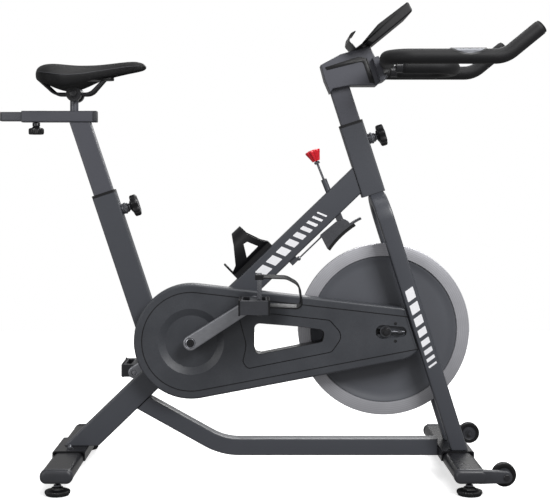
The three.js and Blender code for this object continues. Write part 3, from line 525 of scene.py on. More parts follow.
@dataclass(frozen=True)
class PowderCoat(Finish):
    """Steel, sprayed with powder and baked: an even satin film that the eye reads by its faint orange peel.

    Each tube gets a dark outline: painted shade along its rounded edges, where the real tubes turn away from
    the light.

    The real peel is about a millimetre across; it is drawn coarser so that it shows.
    """

    def detail(self, tree: Tree, shader: Node, place: Socket) -> None:
        """Orange peel, faint clouds of tone, and painted shade that darkens the paint towards edges."""
        peel = add_node(tree, "ShaderNodeTexNoise", {
            "Vector": place, "Scale": per_metre(self.grain), "Detail": 2.0, "Roughness": 0.45})
        # painted shade: near edges, where the bevelled normal turns from the face's own normal, the colour goes
        # most of the way to the dark tint
        edge_shade_bevel = add_node(tree, "ShaderNodeBevel", {"Radius": 4.0 * MM}, samples=6)
        flat = add_node(tree, "ShaderNodeNewGeometry")
        edge_shade_dot = add_node(tree, "ShaderNodeVectorMath", {
            0: edge_shade_bevel.outputs[0], 1: flat.outputs["Normal"]}, operation="DOT_PRODUCT")
        edge = add_node(tree, "ShaderNodeMapRange", {
            "Value": edge_shade_dot.outputs["Value"], "From Min": 0.99, "From Max": 0.86, "To Max": 0.8})
        cloud = add_node(tree, "ShaderNodeTexNoise", {"Vector": place, "Scale": per_metre(90), "Detail": 3.0})
        mask = add_node(tree, "ShaderNodeMath", {0: cloud.outputs[0], 1: 0.12}, operation="MULTIPLY")
        # mask: faint random clouds of tone, plus the painted edge shade
        both = add_node(tree, "ShaderNodeMath", {0: mask.outputs[0], 1: edge.outputs[0]}, operation="ADD",
                        use_clamp=True)
        self.shade(tree, shader, both.outputs[0], 0.03)
        self.emboss(tree, shader, peel.outputs[0], self.relief)


@dataclass(frozen=True)
class MouldedPlastic(Finish):
    """ABS or polypropylene from a spark-eroded mould: a fine even grit that breaks up highlights.

    The real grit is about 0.1 mm; it is drawn coarser so that it shows.
    """

    def detail(self, tree: Tree, shader: Node, place: Socket) -> None:
        """Spark grit and the slight cloudiness of a big moulding."""
        grit = add_node(tree, "ShaderNodeTexNoise", {
            "Vector": place, "Scale": per_metre(self.grain), "Detail": 4.0, "Roughness": 0.7})
        cloud = add_node(tree, "ShaderNodeTexNoise", {"Vector": place, "Scale": per_metre(60), "Detail": 2.0})
        mask = add_node(tree, "ShaderNodeMath", {0: grit.outputs[0], 1: cloud.outputs[0]},
            operation="MULTIPLY")
        wide = add_node(tree, "ShaderNodeMapRange", {
            "Value": mask.outputs[0], "From Min": 0.12, "From Max": 0.42}, clamp=True)
        self.shade(tree, shader, wide.outputs[0], 0.05)
        self.emboss(tree, shader, grit.outputs[0], self.relief)


@dataclass(frozen=True)
class FoamSleeve(Finish):
    """Nitrile foam tube pulled over a bar: soft, matt, with open pores about half a millimetre across.

    The pores are drawn at twice their size so that they show.
    """

    def detail(self, tree: Tree, shader: Node, place: Socket) -> None:
        """Pores, and the rubbed sheen of the skin between them."""
        pores = add_node(tree, "ShaderNodeTexVoronoi", {"Vector": place, "Scale": per_metre(self.grain)})
        wide = add_node(tree, "ShaderNodeMapRange", {
            "Value": pores.outputs["Distance"], "From Min": 0.05, "From Max": 0.6}, clamp=True)
        self.shade(tree, shader, wide.outputs[0], 0.05)
        self.emboss(tree, shader, wide.outputs[0], self.relief)
        shader.inputs["Sheen Weight"].default_value = 0.03
        shader.inputs["Sheen Roughness"].default_value = 0.5


@dataclass(frozen=True)
class Leatherette(Finish):
    """Polyurethane skin with a pebbled leather grain, moulded over foam: creases between pebbles 1.5 mm across.

    The pebbles are drawn at twice their size so that they show.
    """

    def detail(self, tree: Tree, shader: Node, place: Socket) -> None:
        """Pebbles with creases between them, and a faint sheen."""
        warp = add_node(tree, "ShaderNodeTexNoise", {"Vector": place, "Scale": per_metre(12), "Detail": 2.0})
        shift = add_node(tree, "ShaderNodeVectorMath", {
            0: warp.outputs["Color"], 1: (0.002, 0.002, 0.002)}, operation="MULTIPLY")
        moved = add_node(tree, "ShaderNodeVectorMath", {0: place, 1: shift.outputs[0]}, operation="ADD")
        pebble = add_node(tree, "ShaderNodeTexVoronoi", {
            "Vector": moved.outputs[0], "Scale": per_metre(self.grain)}, feature="DISTANCE_TO_EDGE")
        crease = add_node(tree, "ShaderNodeMapRange", {
            "Value": pebble.outputs["Distance"], "From Min": 0.0, "From Max": 0.16}, clamp=True)
        self.shade(tree, shader, crease.outputs[0], 0.05)
        self.emboss(tree, shader, crease.outputs[0], self.relief)
        shader.inputs["Sheen Weight"].default_value = 0.02


@dataclass(frozen=True)
class TurnedIron(Finish):
    """Cast iron, turned on a lathe about one axis: fine rings that stretch the highlight along the radius.

    The real feed marks are 0.3 mm apart; they are drawn coarser so that they show.
    """

    centre: tuple[float, float, float] = (0.0, 0.0, 0.0)

    def detail(self, tree: Tree, shader: Node, place: Socket) -> None:
        """Feed marks round the axis and the cloudy tone of bare iron."""
        arm = add_node(tree, "ShaderNodeVectorMath", {0: place, 1: self.centre}, operation="SUBTRACT")
        rings = add_node(tree, "ShaderNodeTexWave", {
            "Vector": arm.outputs[0], "Scale": per_metre(self.grain) / (2 * math.pi), "Distortion": 0.6,
            "Detail": 2.0, "Detail Scale": 3.0}, wave_type="RINGS", rings_direction="Y")
        cloud = add_node(tree, "ShaderNodeTexNoise", {"Vector": place, "Scale": per_metre(35), "Detail": 5.0})
        mask = add_node(tree, "ShaderNodeMath", {0: rings.outputs["Fac"], 1: cloud.outputs[0]},
                        operation="MULTIPLY")
        self.shade(tree, shader, mask.outputs[0], 0.08)
        self.emboss(tree, shader, rings.outputs["Fac"], self.relief)
        shader.inputs["Anisotropic"].default_value = 0.4


@dataclass(frozen=True)
class BrushedMetal(Finish):
    """Steel or alloy, linished on a belt: short scratches along one direction that soften the highlight."""

    stretch: tuple[float, float, float] = (0.08, 1.0, 1.0)

    def detail(self, tree: Tree, shader: Node, place: Socket) -> None:
        """Belt scratches, drawn wider than the real ones so that they show."""
        pulled = add_node(tree, "ShaderNodeVectorMath", {0: place, 1: self.stretch}, operation="MULTIPLY")
        lines = add_node(tree, "ShaderNodeTexNoise", {
            "Vector": pulled.outputs[0], "Scale": per_metre(self.grain), "Detail": 3.0, "Roughness": 0.6})
        self.shade(tree, shader, lines.outputs[0], 0.08)
        self.emboss(tree, shader, lines.outputs[0], self.relief)


@dataclass(frozen=True)
class Rubber(Finish):
    """Moulded rubber: matt and a little dusty, with no clear highlight."""

    def detail(self, tree: Tree, shader: Node, place: Socket) -> None:
        """Bloom and dust in soft patches."""
        dust = add_node(tree, "ShaderNodeTexNoise", {
            "Vector": place, "Scale": per_metre(self.grain), "Detail": 6.0, "Roughness": 0.65})
        self.shade(tree, shader, dust.outputs[0], 0.05)
        self.emboss(tree, shader, dust.outputs[0], self.relief)


@dataclass(frozen=True)
class Webbing(Finish):
    """Woven polyester strap: a rib of yarns 1.5 mm apart across the strap."""

    def detail(self, tree: Tree, shader: Node, place: Socket) -> None:
        """Ribs of yarn, square to each other."""
        warp = add_node(tree, "ShaderNodeTexWave", {
            "Vector": place, "Scale": per_metre(self.grain) / (2 * math.pi)}, bands_direction="X")
        weft = add_node(tree, "ShaderNodeTexWave", {
            "Vector": place, "Scale": per_metre(self.grain) / (2 * math.pi)}, bands_direction="DIAGONAL")
        cloth = add_node(tree, "ShaderNodeMath", {0: warp.outputs["Fac"], 1: weft.outputs["Fac"]},
                         operation="MULTIPLY")
        self.shade(tree, shader, cloth.outputs[0], 0.05)
        self.emboss(tree, shader, cloth.outputs[0], self.relief)


HUB_PLACE = joint_place("flywheel_spin")
# The powder coats' tint is the painted shade along each tube's rounded edges, and also the tone of their faint
# clouds.
FRAME_PAINT = PowderCoat("powder_coat_charcoal", "frame_paint", "43454b", 0.4, "17181b", relief=0.05)
POST_PAINT = PowderCoat("powder_coat_grey", "post_paint", "4c4d54", 0.40, "1b1b1e", relief=0.05)
STABILISER_PAINT = PowderCoat("powder_coat_black_gloss", "frame_paint", "141417", 0.3, "0a0a0c", relief=0.04)
DISC_PAINT = PowderCoat("powder_coat_disc", "frame_paint", "55575d", 0.5, "2a2b2e", relief=0.05)
COVER_ABS = MouldedPlastic("moulded_abs_cover", "cover_plastic", "36383d", 0.46, "3f4146", relief=0.04)
BLACK_NYLON = MouldedPlastic("moulded_nylon_black", "black_plastic", "0b0b0d", 0.42, "121215",
    relief=0.05, specular=0.4)
GREY_NYLON = MouldedPlastic("moulded_nylon_grey", "black_plastic", "2c2d31", 0.45, "36373c", relief=0.05)
RED_ABS = MouldedPlastic("moulded_abs_red", "red_plastic", "c81826", 0.3, "d8222f", relief=0.02)
GRIP_FOAM = FoamSleeve("nitrile_foam_black", "foam", "08080a", 0.58, "121214", grain=1.2, relief=0.12,
                      specular=0.3)
SADDLE_SKIN = Leatherette("pebbled_polyurethane", "leatherette", "060607", 0.5, "0e0e10", grain=3.0,
    relief=0.16,
                           specular=0.2)
THREAD = Rubber("bonded_thread_black", "leatherette", "26262a", 0.6, "38383d", grain=2.0, relief=0.02)
TURNED_RIM = TurnedIron("turned_iron_rim", "machined_iron", "a4a4a9", 0.46, "bcbcc1", metallic=0.4, grain=2.2,
                        relief=0.02, centre=tuple(HUB_PLACE))
CRANK_ALLOY = BrushedMetal("linished_alloy", "crank_steel", "8c8d92", 0.42, "a6a7ac", metallic=0.85,
    grain=1.5,
                           relief=0.015, stretch=(0.12, 1.0, 0.3))
ZINC = BrushedMetal("zinc_plated_steel", "dark_steel", "5c5d61", 0.32, "7a7b80", metallic=0.9, grain=3.0,
                    relief=0.01, stretch=(1.0, 1.0, 1.0))
BRIGHT_STEEL = BrushedMetal("polished_steel", "bright_steel", "9fa0a6", 0.22, "b6b7bc", metallic=1.0,
    grain=3.0,
                            relief=0.008)
# These two powder coats also carry the painted edge shade, in their tint.
BLACK_STEEL = PowderCoat("powder_coat_black", "bright_steel", "202023", 0.36, "0c0c0e", relief=0.03)
SLIDER_STEEL = PowderCoat("powder_coat_slider", "bright_steel", "4a4b51", 0.4, "1b1b1e", relief=0.04)
FOOT_RUBBER = Rubber("moulded_rubber_black", "rubber", "09090a", 0.62, "111113", grain=5.0, relief=0.05,
    specular=0.3)
STRAP_WEB = Webbing("woven_strap_grey", "rubber", "3e3f43", 0.6, "5a5b60", grain=1.6, relief=0.12)
WHITE_VINYL = MouldedPlastic("cut_vinyl_white", "frame_paint", "e2e2e6", 0.4, "f0f0f2", relief=0.01)


# ---------------------------------------------------------------- sub-assemblies
class Side(Enum):
    """The two sides of the bike, as the rider sits, by the sign of Y."""

    RIGHT = -1
    LEFT = 1

    @property
    def label(self) -> str:
        """The side's name in the frame's node names."""
        return self.name.lower()


@dataclass
class FrameTubes:
    """Welded steel frame: kept tubes, weld beads, graphic bars and the tube mouths' plastic bushes."""

    spine_tilt: float = 46.1
    fork_tilt: float = 17.5
    tube_half: float = 20.0
    leg_depth: float = 38.0
    bar_thick: float = 0.35

    def build(self) -> None:
        """Dresses the tubes and adds the graphics."""
        dress(["spine_tube", "seat_tube", "head_tube", "lower_tube", "fork"], FRAME_PAINT)
        dress(["rear_stabiliser", "front_stabiliser"], STABILISER_PAINT)
        dress(["seat_post", "handlebar_post"], POST_PAINT)
        dress(["seat_tube_bush", "head_tube_bush"], BLACK_NYLON, 0.8)
        dress(["bottom_bracket"], ZINC, 0.8)
        self.spine_graphic()
        self.fork_graphic()
        self.welds()

    def spine_axes(self) -> Axes:
        """Side view along the spine tube, from the crank's axis."""
        tilt = math.radians(self.spine_tilt)
        return along(joint_place("crank_spin"), Vector((math.sin(tilt), 0, math.cos(tilt))))

    def leg_axes(self) -> Axes:
        """Side view along the fork legs, from their lower end."""
        tilt = math.radians(self.fork_tilt)
        low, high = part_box("fork")
        foot = Vector((high.x - self.leg_depth / 2 * MM / math.cos(tilt), 0, low.z))
        return along(foot, Vector((-math.sin(tilt), 0, math.cos(tilt))))

    def slanted_bars(self, name: str, axes: Axes, starts: Sequence[tuple[float, float]], half: float,
                     slant: float, face: float) -> None:
        """Cuts a row of slanted white bars, a plain graphic with no meaning.

        Args:
            name: the piece's name, before its side.
            axes: side view along the tube.
            starts: place along the tube and width of each bar.
            half: half the bars' height across the tube.
            slant: how far a bar leans along the tube.
            face: distance of the tube's outer face from the mid plane.
        """
        for side in Side:
            shape = Shape()
            for start, width in starts:
                bar = rounded([(-half, start - slant, 1.2), (-half, start + width - slant, 1.2),
                               (half, start + width + slant, 1.2), (half, start + slant, 1.2)])
                w = sorted((side.value * face, side.value * (face + self.bar_thick)))
                shape.slab(bar, axes, *w)
            shape.place(f"{name}_{side.label}", "frame", WHITE_VINYL)

    def spine_graphic(self) -> None:
        """Bars that narrow towards the head tube."""
        starts, place = [], 222.0
        for width in (26, 23, 20, 17, 14, 11, 8.5, 6.5, 4.5):
            starts.append((place, width))
            place += width + 9.5
        self.slanted_bars("spine_graphic", self.spine_axes(), starts, 11.5, 5.0, self.tube_half)

    def fork_graphic(self) -> None:
        """Bars that narrow towards the floor, on the outer faces of the legs."""
        starts, place = [], 206.0
        for width in (5, 8, 11, 14, 17, 20, 23, 26):
            starts.append((place, width))
            place += width + 9.0
        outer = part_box("fork")[1].y / MM
        self.slanted_bars("fork_graphic", self.leg_axes(), starts, 10.5, 3.5, outer)

    def bead(self, name: str, axes: Axes, depth: float, width: float, height: Callable[[float], float],
             radius: float = 2.2) -> None:
        """Lays a weld bead round a tube.

        Args:
            name: the piece's name.
            axes: side view along the tube.
            depth: the tube's size along u.
            width: the tube's size along w.
            height: place of the bead along v at each u.
            radius: the bead's own radius.
        """
        ring = rectangle(-depth / 2, depth / 2, -width / 2, width / 2, 5)
        fine = []
        for (x0, y0), (x1, y1) in zip(ring, ring[1:] + ring[:1]):
            count = max(1, int(math.hypot(x1 - x0, y1 - y0) / 1.5))
            fine += [(x0 + (x1 - x0) * k / count, y0 + (y1 - y0) * k / count) for k in range(count)]
        rows = []
        for i, (u, w) in enumerate(fine):
            ripple = 1 + 0.13 * math.sin(i * 1.9)
            here = axes.at(u, height(u), w)
            out = (axes.u * u + axes.w * w).normalized()
            rows.append([here + (out * math.cos(a) + axes.v * math.sin(a)) * (radius * ripple * MM)
                         for a in (2 * math.pi * k / 8 for k in range(8))])
        shape = Shape()
        shape.loft(rows + rows[:1], caps=False)
        bmesh.ops.remove_doubles(shape.mesh, verts=shape.mesh.verts, dist=1e-6)
        shape.place(name, "frame", FRAME_PAINT)

    def welds(self) -> None:
        """Bead where the seat tube meets the spine tube."""
        seat = along(Vector((joint_place("seat_pin_turn"))), joint_axis("seat_height"))
        spine = self.spine_axes()
        normal = spine.u
        gap = (seat.origin - spine.origin).dot(normal) / MM + 28.5
        lean, slide = seat.u.dot(normal), seat.v.dot(normal)
        self.bead("seat_tube_weld", seat, 57, 40, lambda u: -(gap + u * lean) / slide)


@dataclass
class Feet:
    """Stabilisers' end caps, levelling feet and transport wheels."""

    cap_depth: float = 72.0
    cap_height: float = 31.0
    foot_radius: float = 28.0

    def build(self) -> None:
        """Makes both ends and both sides."""
        for side in Side:
            for end in ("front", "rear"):
                self.cap(end, side)
                self.foot(end, side)
            self.wheel(side)
        for end in ("front", "rear"):
            self.plate_bolts(end)

    def oval(self, grow: float) -> Outline:
        """Flat oval section of a cap in side view, grown by some millimetres."""
        u, v = self.cap_depth / 2 + grow, self.cap_height / 2 + grow
        return rectangle(-u, u, -v, v, v - 1.5)

    def cap(self, end: str, side: Side) -> None:
        """Moulded end cap with a rounded end; the front one has a fork that holds a wheel."""
        node = f"{end}_cap_{side.label}"
        tube = f"{end}_stabiliser"
        low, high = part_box(node)
        centre = middle(tube)
        centre.z = (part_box(tube)[0].z + 14.5 * MM)
        axes = side_view(Vector((centre.x, 0, centre.z)))
        outer, inner = (low.y, high.y) if side is Side.RIGHT else (high.y, low.y)
        outer, inner = outer / MM, inner / MM
        if end == "front":
            inner = side.value * 232.3
        sign = side.value
        length = abs(outer - inner)
        rings = []
        for share, drop in ((0, 1.2), (0.06, 0), (0.55, 0), (0.75, 1.0), (0.9, 3.2), (0.97, 6.0), (1.0, 9.5)):
            w = inner + sign * length * share
            rings.append([axes.at(u, v, w) for u, v in inset(self.oval(0), drop)])
        shape = Shape().loft(rings)
        if end == "front":
            wheel = joint_place(f"transport_wheel_{side.label}_spin")
            hub = Vector(((wheel.x - centre.x) / MM, (wheel.z - centre.z) / MM))
            arm = belt(Vector((20, 0)), 15, hub, 13, 32)
            span = sorted((inner, outer - sign * 2))
            shape.take(Shape().slab(arm, axes, *span, edge=2.5))
            reach = (outer - sign * 2) - wheel.y / MM
            bolt = spun(wheel, Vector((0, sign, 0)))
            Shape().lathe([(0, abs(reach) + 3.2), (5.4, abs(reach) + 3.2), (6.6, abs(reach) + 2.2),
                           (6.8, abs(reach) - 0.4), (0, abs(reach) - 0.4)], bolt, 32).place(
                f"wheel_bolt_{side.label}", "frame", BLACK_STEEL)
            pin = [(0, -6), (4, -6), (4, abs(reach) - 3), (0, abs(reach) - 3)]
            shape.take(Shape().lathe([(r, h - 9) if h < 0 else (r, h) for r, h in pin], bolt, 24))
        shape.place(f"{node}_moulding", "frame", GREY_NYLON, [node])
        plate = sorted((inner + sign * 3.0, inner + sign * 13.0))
        Shape().slab(rectangle(-26, 26, 9, 16.1, 2), axes, *plate, edge=0.6).place(
            f"{node}_pad", "frame", GREY_NYLON)

    def foot(self, end: str, side: Side) -> None:
        """Levelling foot: a rubber disc with a knurled grip rim on a threaded stud, with a lock nut."""
        node = f"{end}_foot_{side.label}"
        place = joint_place(f"{node}_turn")
        axes = spun(Vector((place.x, place.y, 0)), UP)
        r = self.foot_radius
        Shape().lathe([(0, 0), (r - 4, 0), (r - 2.5, 0.5), (r - 2, 1.8), (r - 2.6, 3.0), (0, 3.0)],
                      axes, 96).place(f"{node}_sole", node, FOOT_RUBBER)
        Shape().lathe([(0, 3.1), (r - 2, 3.1), (r - 0.2, 4.0), (r, 5.5), (r, 9.0), (r - 1.2, 10.4),
            (r - 7, 11.2),
                       (15, 12.6), (13.2, 15), (12.6, 17), (5.2, 17.4), (0, 17.4)],
                      axes, 240, lobes=30, dip=1.6).place(f"{node}_grip", node, BLACK_NYLON, [node])
        Shape().slab(circle(8.6, 6), axes, 17.6, 22.6, 0.8).place(f"{node}_nut", node, ZINC)
        thread = []
        top = 42.0
        for k in range(int((top - 22.8) / 0.75)):
            thread.append((5.0 if k % 2 else 4.3, 22.8 + 0.75 * k))
        Shape().lathe([(0, 22.7), *thread, (0, top)], axes, 32).place(f"{node}_stud", node, ZINC)

    def wheel(self, side: Side) -> None:
        """Transport wheel: soft tread on a nylon hub with a dished face."""
        node = f"transport_wheel_{side.label}"
        axes = spun(joint_place(f"{node}_spin"), ACROSS)
        half = 10.3
        Shape().lathe([(17.2, -half + 1), (22, -half), (24.6, -half + 0.6), (25.8, -half + 2.6), (26,
            -3), (26, 3),
                       (25.8, half - 2.6), (24.6, half - 0.6), (22, half), (17.2, half - 1), (17.2,
                           -half + 1)],
                      axes, 96).place(f"{node}_tread", node, FOOT_RUBBER, [node])
        Shape().lathe([(4.6, -half + 0.4), (8, -half + 0.4), (9, -half + 2.6), (15, -half + 3.2), (17,
            -half + 1.6),
                       (17, half - 1.6), (15, half - 3.2), (9, half - 2.6), (8, half - 0.4), (4.6,
                           half - 0.4),
                       (4.6, -half + 0.4)], axes, 64).place(f"{node}_hub", node, GREY_NYLON)

    def plate_bolts(self, end: str) -> None:
        """Dome nuts that hold the stabiliser's plate to the frame."""
        tube = f"{end}_stabiliser"
        _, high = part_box(tube)
        x = middle(tube).x
        for number, w in enumerate((-56, 56)):
            axes = spun(Vector((x, w * MM, high.z)), UP)
            Shape().lathe([(9.5, 0), (9.5, 1.2), (0, 1.2)], axes, 40).place(
                f"{end}_washer_{number}", "frame", ZINC)
            Shape().slab(circle(6.6, 6), axes, 1.3, 6.0, 0.7).place(f"{end}_nut_{number}", "frame", ZINC)
            dome = [(5.2 * math.cos(a), 6.1 + 5.2 * math.sin(a)) for a in
                    (math.pi / 2 * k / 8 for k in range(9))]
            Shape().lathe([(0, 6.1), *dome[:-1], (0, dome[-1][1])], axes, 32).place(
                f"{end}_dome_{number}", "frame", ZINC)


@dataclass
class Knobs:
    """Lobed knobs of the two pop pins and the saddle slider."""

    lobes: int = 7
    radius: float = 27.0

    def build(self) -> None:
        """Makes the pop pins and the slider knob."""
        for name, slide in (("seat", "seat_pin_turn"), ("handlebar", "handlebar_pin_turn")):
            self.pop_pin(name, spun(joint_place(slide), joint_axis(slide)))
        self.slider_knob()

    def pop_pin(self, name: str, axes: Axes) -> None:
        """Threaded housing with two flats, its spring pin, and the knob that pulls it."""
        body, housing = f"{name}_knob", f"{name}_pin_housing"
        Shape().lathe([(4.3, 29.0), (12.4, 29.0), (12.8, 30), (12.8, 33.5), (11.2, 34.4), (11.2, 44.5),
            (10, 46),
                       (8.4, 46.4), (8.4, 49.3), (4.3, 49.3), (4.3, 29.0)], axes, 48).place(
            f"{name}_pin_collar", f"{name}_pin", ZINC, [housing])
        Shape().slab(circle(13.6, 6), axes, 34.6, 40.0, 0.9).place(f"{name}_pin_hex", f"{name}_pin", ZINC)
        Shape().lathe([(0, 24.2), (3.4, 24.2), (3.9, 25), (3.9, 52), (0, 52)], axes, 24).place(
            f"{name}_pin_rod", body, BRIGHT_STEEL)
        self.knob(f"{name}_knob_grip", body, axes, self.radius, self.lobes, 50.0, 70.0, [body])

    def knob(self, name: str, body: str, axes: Axes, radius: float, lobes: int, low: float, high: float,
             nodes: Sequence[str]) -> None:
        """Lobed knob with a waisted skirt and a dished face with a disc in it."""
        r, h = radius, high
        profile = [(0, low), (r * 0.42, low), (r * 0.5, low + 1.2), (r * 0.56, low + 3.0), (r * 0.86,
            low + 4.0),
                   (r * 0.97, low + 5.6), (r, low + 7.8), (r, h - 4.2), (r * 0.98, h - 2.2), (r * 0.93,
                       h - 0.8),
                   (r * 0.86, h), (r * 0.62, h), (r * 0.58, h - 1.4), (0, h - 1.4)]
        shape = Shape()
        rings = []
        for rr, height in profile:
            dip = 4.2 * (rr / r) ** 3
            rings.append([axes.at(u, v, height) for u, v in circle(rr, lobes * 16, lobes, dip)])
        shape.loft(rings, caps=False)
        bmesh.ops.remove_doubles(shape.mesh, verts=shape.mesh.verts, dist=1e-6)
        shape.place(name, body, BLACK_NYLON, nodes)
        Shape().lathe([(0, h - 1.3), (r * 0.52, h - 1.3), (r * 0.5, h - 0.3), (0, h - 0.1)], axes, 48).place(
            f"{name}_disc", body, GREY_NYLON)

    def slider_knob(self) -> None:
        """Knob under the sleeve, with its steel stud."""
        place = joint_place("slider_knob_turn")
        low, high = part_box("slider_knob")
        axes = spun(Vector((place.x, 0, high.z)), -UP)
        deep = (high.z - low.z) / MM
        self.knob("slider_knob_grip", "slider_knob", axes, 18.5, 6, deep - 19.0, deep, ["slider_knob"])
        step = deep - 19.0
        Shape().lathe([(0, 0.2), (3.8, 0.2), (3.9, 2.6), (8.6, 3.2), (9, 4.0), (9, step - 1), (7, step + 0.6),
                       (0, step + 0.6)], axes, 32).place("slider_stud", "slider_knob", BLACK_STEEL)


@dataclass
class Saddle:
    """Saddle: padded skin on a moulded base, on two bent rails in a clamp."""

    length: float = 261.0
    rows: int = 27
    row_points: int = 28

    def build(self) -> None:
        """Makes the padded top, its base and the parts under it."""
        self.top()
        self.seams()
        self.rails()
        dress(["saddle_clamp"], BLACK_STEEL, 1.2)
        dress(["saddle_pipe"], POST_PAINT)
        self.clamp_bolts()

    def levels(self, share: float) -> tuple[float, float, float]:
        """Height of the crown, height of the skirt and half width at a share of the length."""
        stations = [
            (0.00, 944, 941, 8), (0.012, 953, 929, 34), (0.04, 959.5, 922, 60),
            (0.10, 964.5, 913, 84), (0.18, 965.5, 905, 94), (0.27, 963.5, 901, 92),
            (0.36, 961.5, 905, 78), (0.46, 961.5, 914, 58), (0.56, 963, 925, 42),
            (0.66, 966, 932, 32), (0.76, 969.5, 938, 26), (0.85, 971.5, 943, 22.5),
            (0.92, 971.0, 946.5, 20), (0.965, 968.0, 949.5, 16.5), (0.99, 963.5, 952.5, 10),
            (1.00, 959.0, 956.5, 3)]
        for (s0, *low), (s1, *high) in zip(stations, stations[1:]):
            if share <= s1:
                t = (share - s0) / (s1 - s0)
                return tuple(a + (b - a) * t for a, b in zip(low, high))
        return tuple(stations[-1][1:])

    def section(self, share: float) -> Outline:
        """Closed cross section, across and up: a crowned top, a skirt that tucks in, and a hollow below."""
        crown, skirt, half = self.levels(share)
        deep = crown - skirt
        relief = 2.2 * math.sin(math.pi * min(max((share - 0.12) / 0.75, 0), 1)) ** 0.6
        thick = min(15.0, deep * 0.5)
        upper = []
        count = self.row_points // 2
        for i in range(count + 1):
            a = math.pi * i / count
            side = math.cos(a)
            fall = abs(side) ** 2.6
            across = half * math.copysign(abs(side) ** 0.86, side)
            channel = relief * math.exp(-(across / 9.0) ** 2)
            upper.append((across, crown - deep * 0.52 * fall - channel))
        lower = []
        tuck = half * 0.93
        for i in range(1, count):
            side = -1 + 2 * i / count
            rise = (1 - abs(side) ** 3.0) * max(deep - thick, 0) * 0.62
            lower.append((tuck * side, skirt + rise))
        left = [(-half * 0.985, skirt + deep * 0.22), (-tuck, skirt)]
        right = [(tuck, skirt), (half * 0.985, skirt + deep * 0.22)]
        return upper + left + lower + right

    def top(self) -> None:
        """Lofts the padded skin and smooths it."""
        low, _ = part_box("saddle")
        axes = Axes(Vector((low.x, 0, 0)), ACROSS, UP, FORWARD)
        rings = []
        for i in range(self.rows):
            share = (1 - math.cos(math.pi * i / (self.rows - 1))) / 2
            rings.append([axes.at(u, v, share * self.length) for u, v in self.section(share)])
        piece = Shape().loft(rings).place("saddle_skin", "saddle", SADDLE_SKIN, ["saddle"])
        fine = piece.modifiers.new("fine", "SUBSURF")
        fine.levels = fine.render_levels = 2
        piece.data.shade_smooth()

    def seams(self) -> None:
        """Welted seam low along both sides."""
        low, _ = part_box("saddle")
        axes = Axes(Vector((low.x, 0, 0)), ACROSS, UP, FORWARD)
        for side in Side:
            line = []
            for i in range(60):
                share = 0.06 + 0.88 * i / 59
                crown, skirt, half = self.levels(share)
                side_share = 0.975
                fall = side_share ** 2.6
                line.append(axes.at(side.value * (half * side_share ** 0.86 + 0.35),
                                    crown - (crown - skirt) * 0.52 * fall, share * self.length))
            Shape().sweep(line, circle(0.9, 8), UP).place(f"saddle_welt_{side.label}", "saddle", THREAD)

    def rails(self) -> None:
        """Round steel rails, bent up to the base at both ends."""
        clamp = joint_place("saddle_tilt")
        axes = side_view(clamp)
        for side in Side:
            y = side.value
            corners = [(-84, 36, 34 * y, 0), (-45, 0, 22 * y, 26), (38, 0, 22 * y, 26), (72, 37, 12 * y, 0)]
            Shape().sweep(route(corners, axes, 14), circle(3.5, 20), ACROSS).place(
                f"saddle_rail_{side.label}", "saddle", BLACK_STEEL,
                ["saddle_rails"] if side is Side.RIGHT else [])
        base = rounded([(-88, -40, 22), (60, -24, 20), (92, -12, 12), (92, 12, 12), (60, 24, 20), (-88,
            40, 22)])
        plan = Axes(clamp, FORWARD, ACROSS, UP)
        Shape().slab(base, plan, 33, 41, 1.5).place("saddle_base", "saddle", BLACK_NYLON)

    def clamp_bolts(self) -> None:
        """Nuts and washers at both ends of the clamp's bolt."""
        clamp = joint_place("saddle_tilt")
        for side in Side:
            axes = spun(clamp, Vector((0, side.value, 0)))
            Shape().lathe([(0, 30.1), (10.5, 30.1), (10.5, 31.8), (0, 31.8)], axes, 40).place(
                f"clamp_washer_{side.label}", "saddle", BLACK_STEEL)
            Shape().slab(circle(8.2, 6), axes, 31.9, 38.0, 0.8).place(
                f"clamp_nut_{side.label}", "saddle", BLACK_STEEL)


@dataclass
class SeatSlider:
    """Sleeve on the seat post and the slider that carries the saddle."""

    def build(self) -> None:
        """Dresses the sleeve and slider and adds their plastic ends."""
        dress(["slider_sleeve"], POST_PAINT)
        dress(["saddle_slider"], SLIDER_STEEL)
        low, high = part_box("slider_sleeve_cap")
        self.plug("slider_front_plug", "seat_post", low, high, 4.0, ["slider_sleeve_cap"])
        rear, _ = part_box("saddle_slider")
        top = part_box("saddle_slider")[1]
        start = Vector((rear.x - 0.1 * MM, rear.y, rear.z))
        stop = Vector((rear.x - 3.5 * MM, top.y, top.z))
        self.plug("slider_rear_plug", "saddle_slide", stop, start, 3.5, [])

    def plug(self, name: str, body: str, first: Vector, second: Vector, corner: float,
             nodes: Sequence[str]) -> None:
        """Moulded end plug with a domed face."""
        low = Vector(map(min, first, second))
        high = Vector(map(max, first, second))
        centre = (low + high) / 2
        axes = Axes(Vector((0, centre.y, centre.z)), ACROSS, UP, FORWARD)
        u, v = (high.y - low.y) / 2 / MM, (high.z - low.z) / 2 / MM
        Shape().slab(rectangle(-u, u, -v, v, corner), axes, low.x / MM, high.x / MM, 1.4).place(
            name, body, GREY_NYLON, nodes)


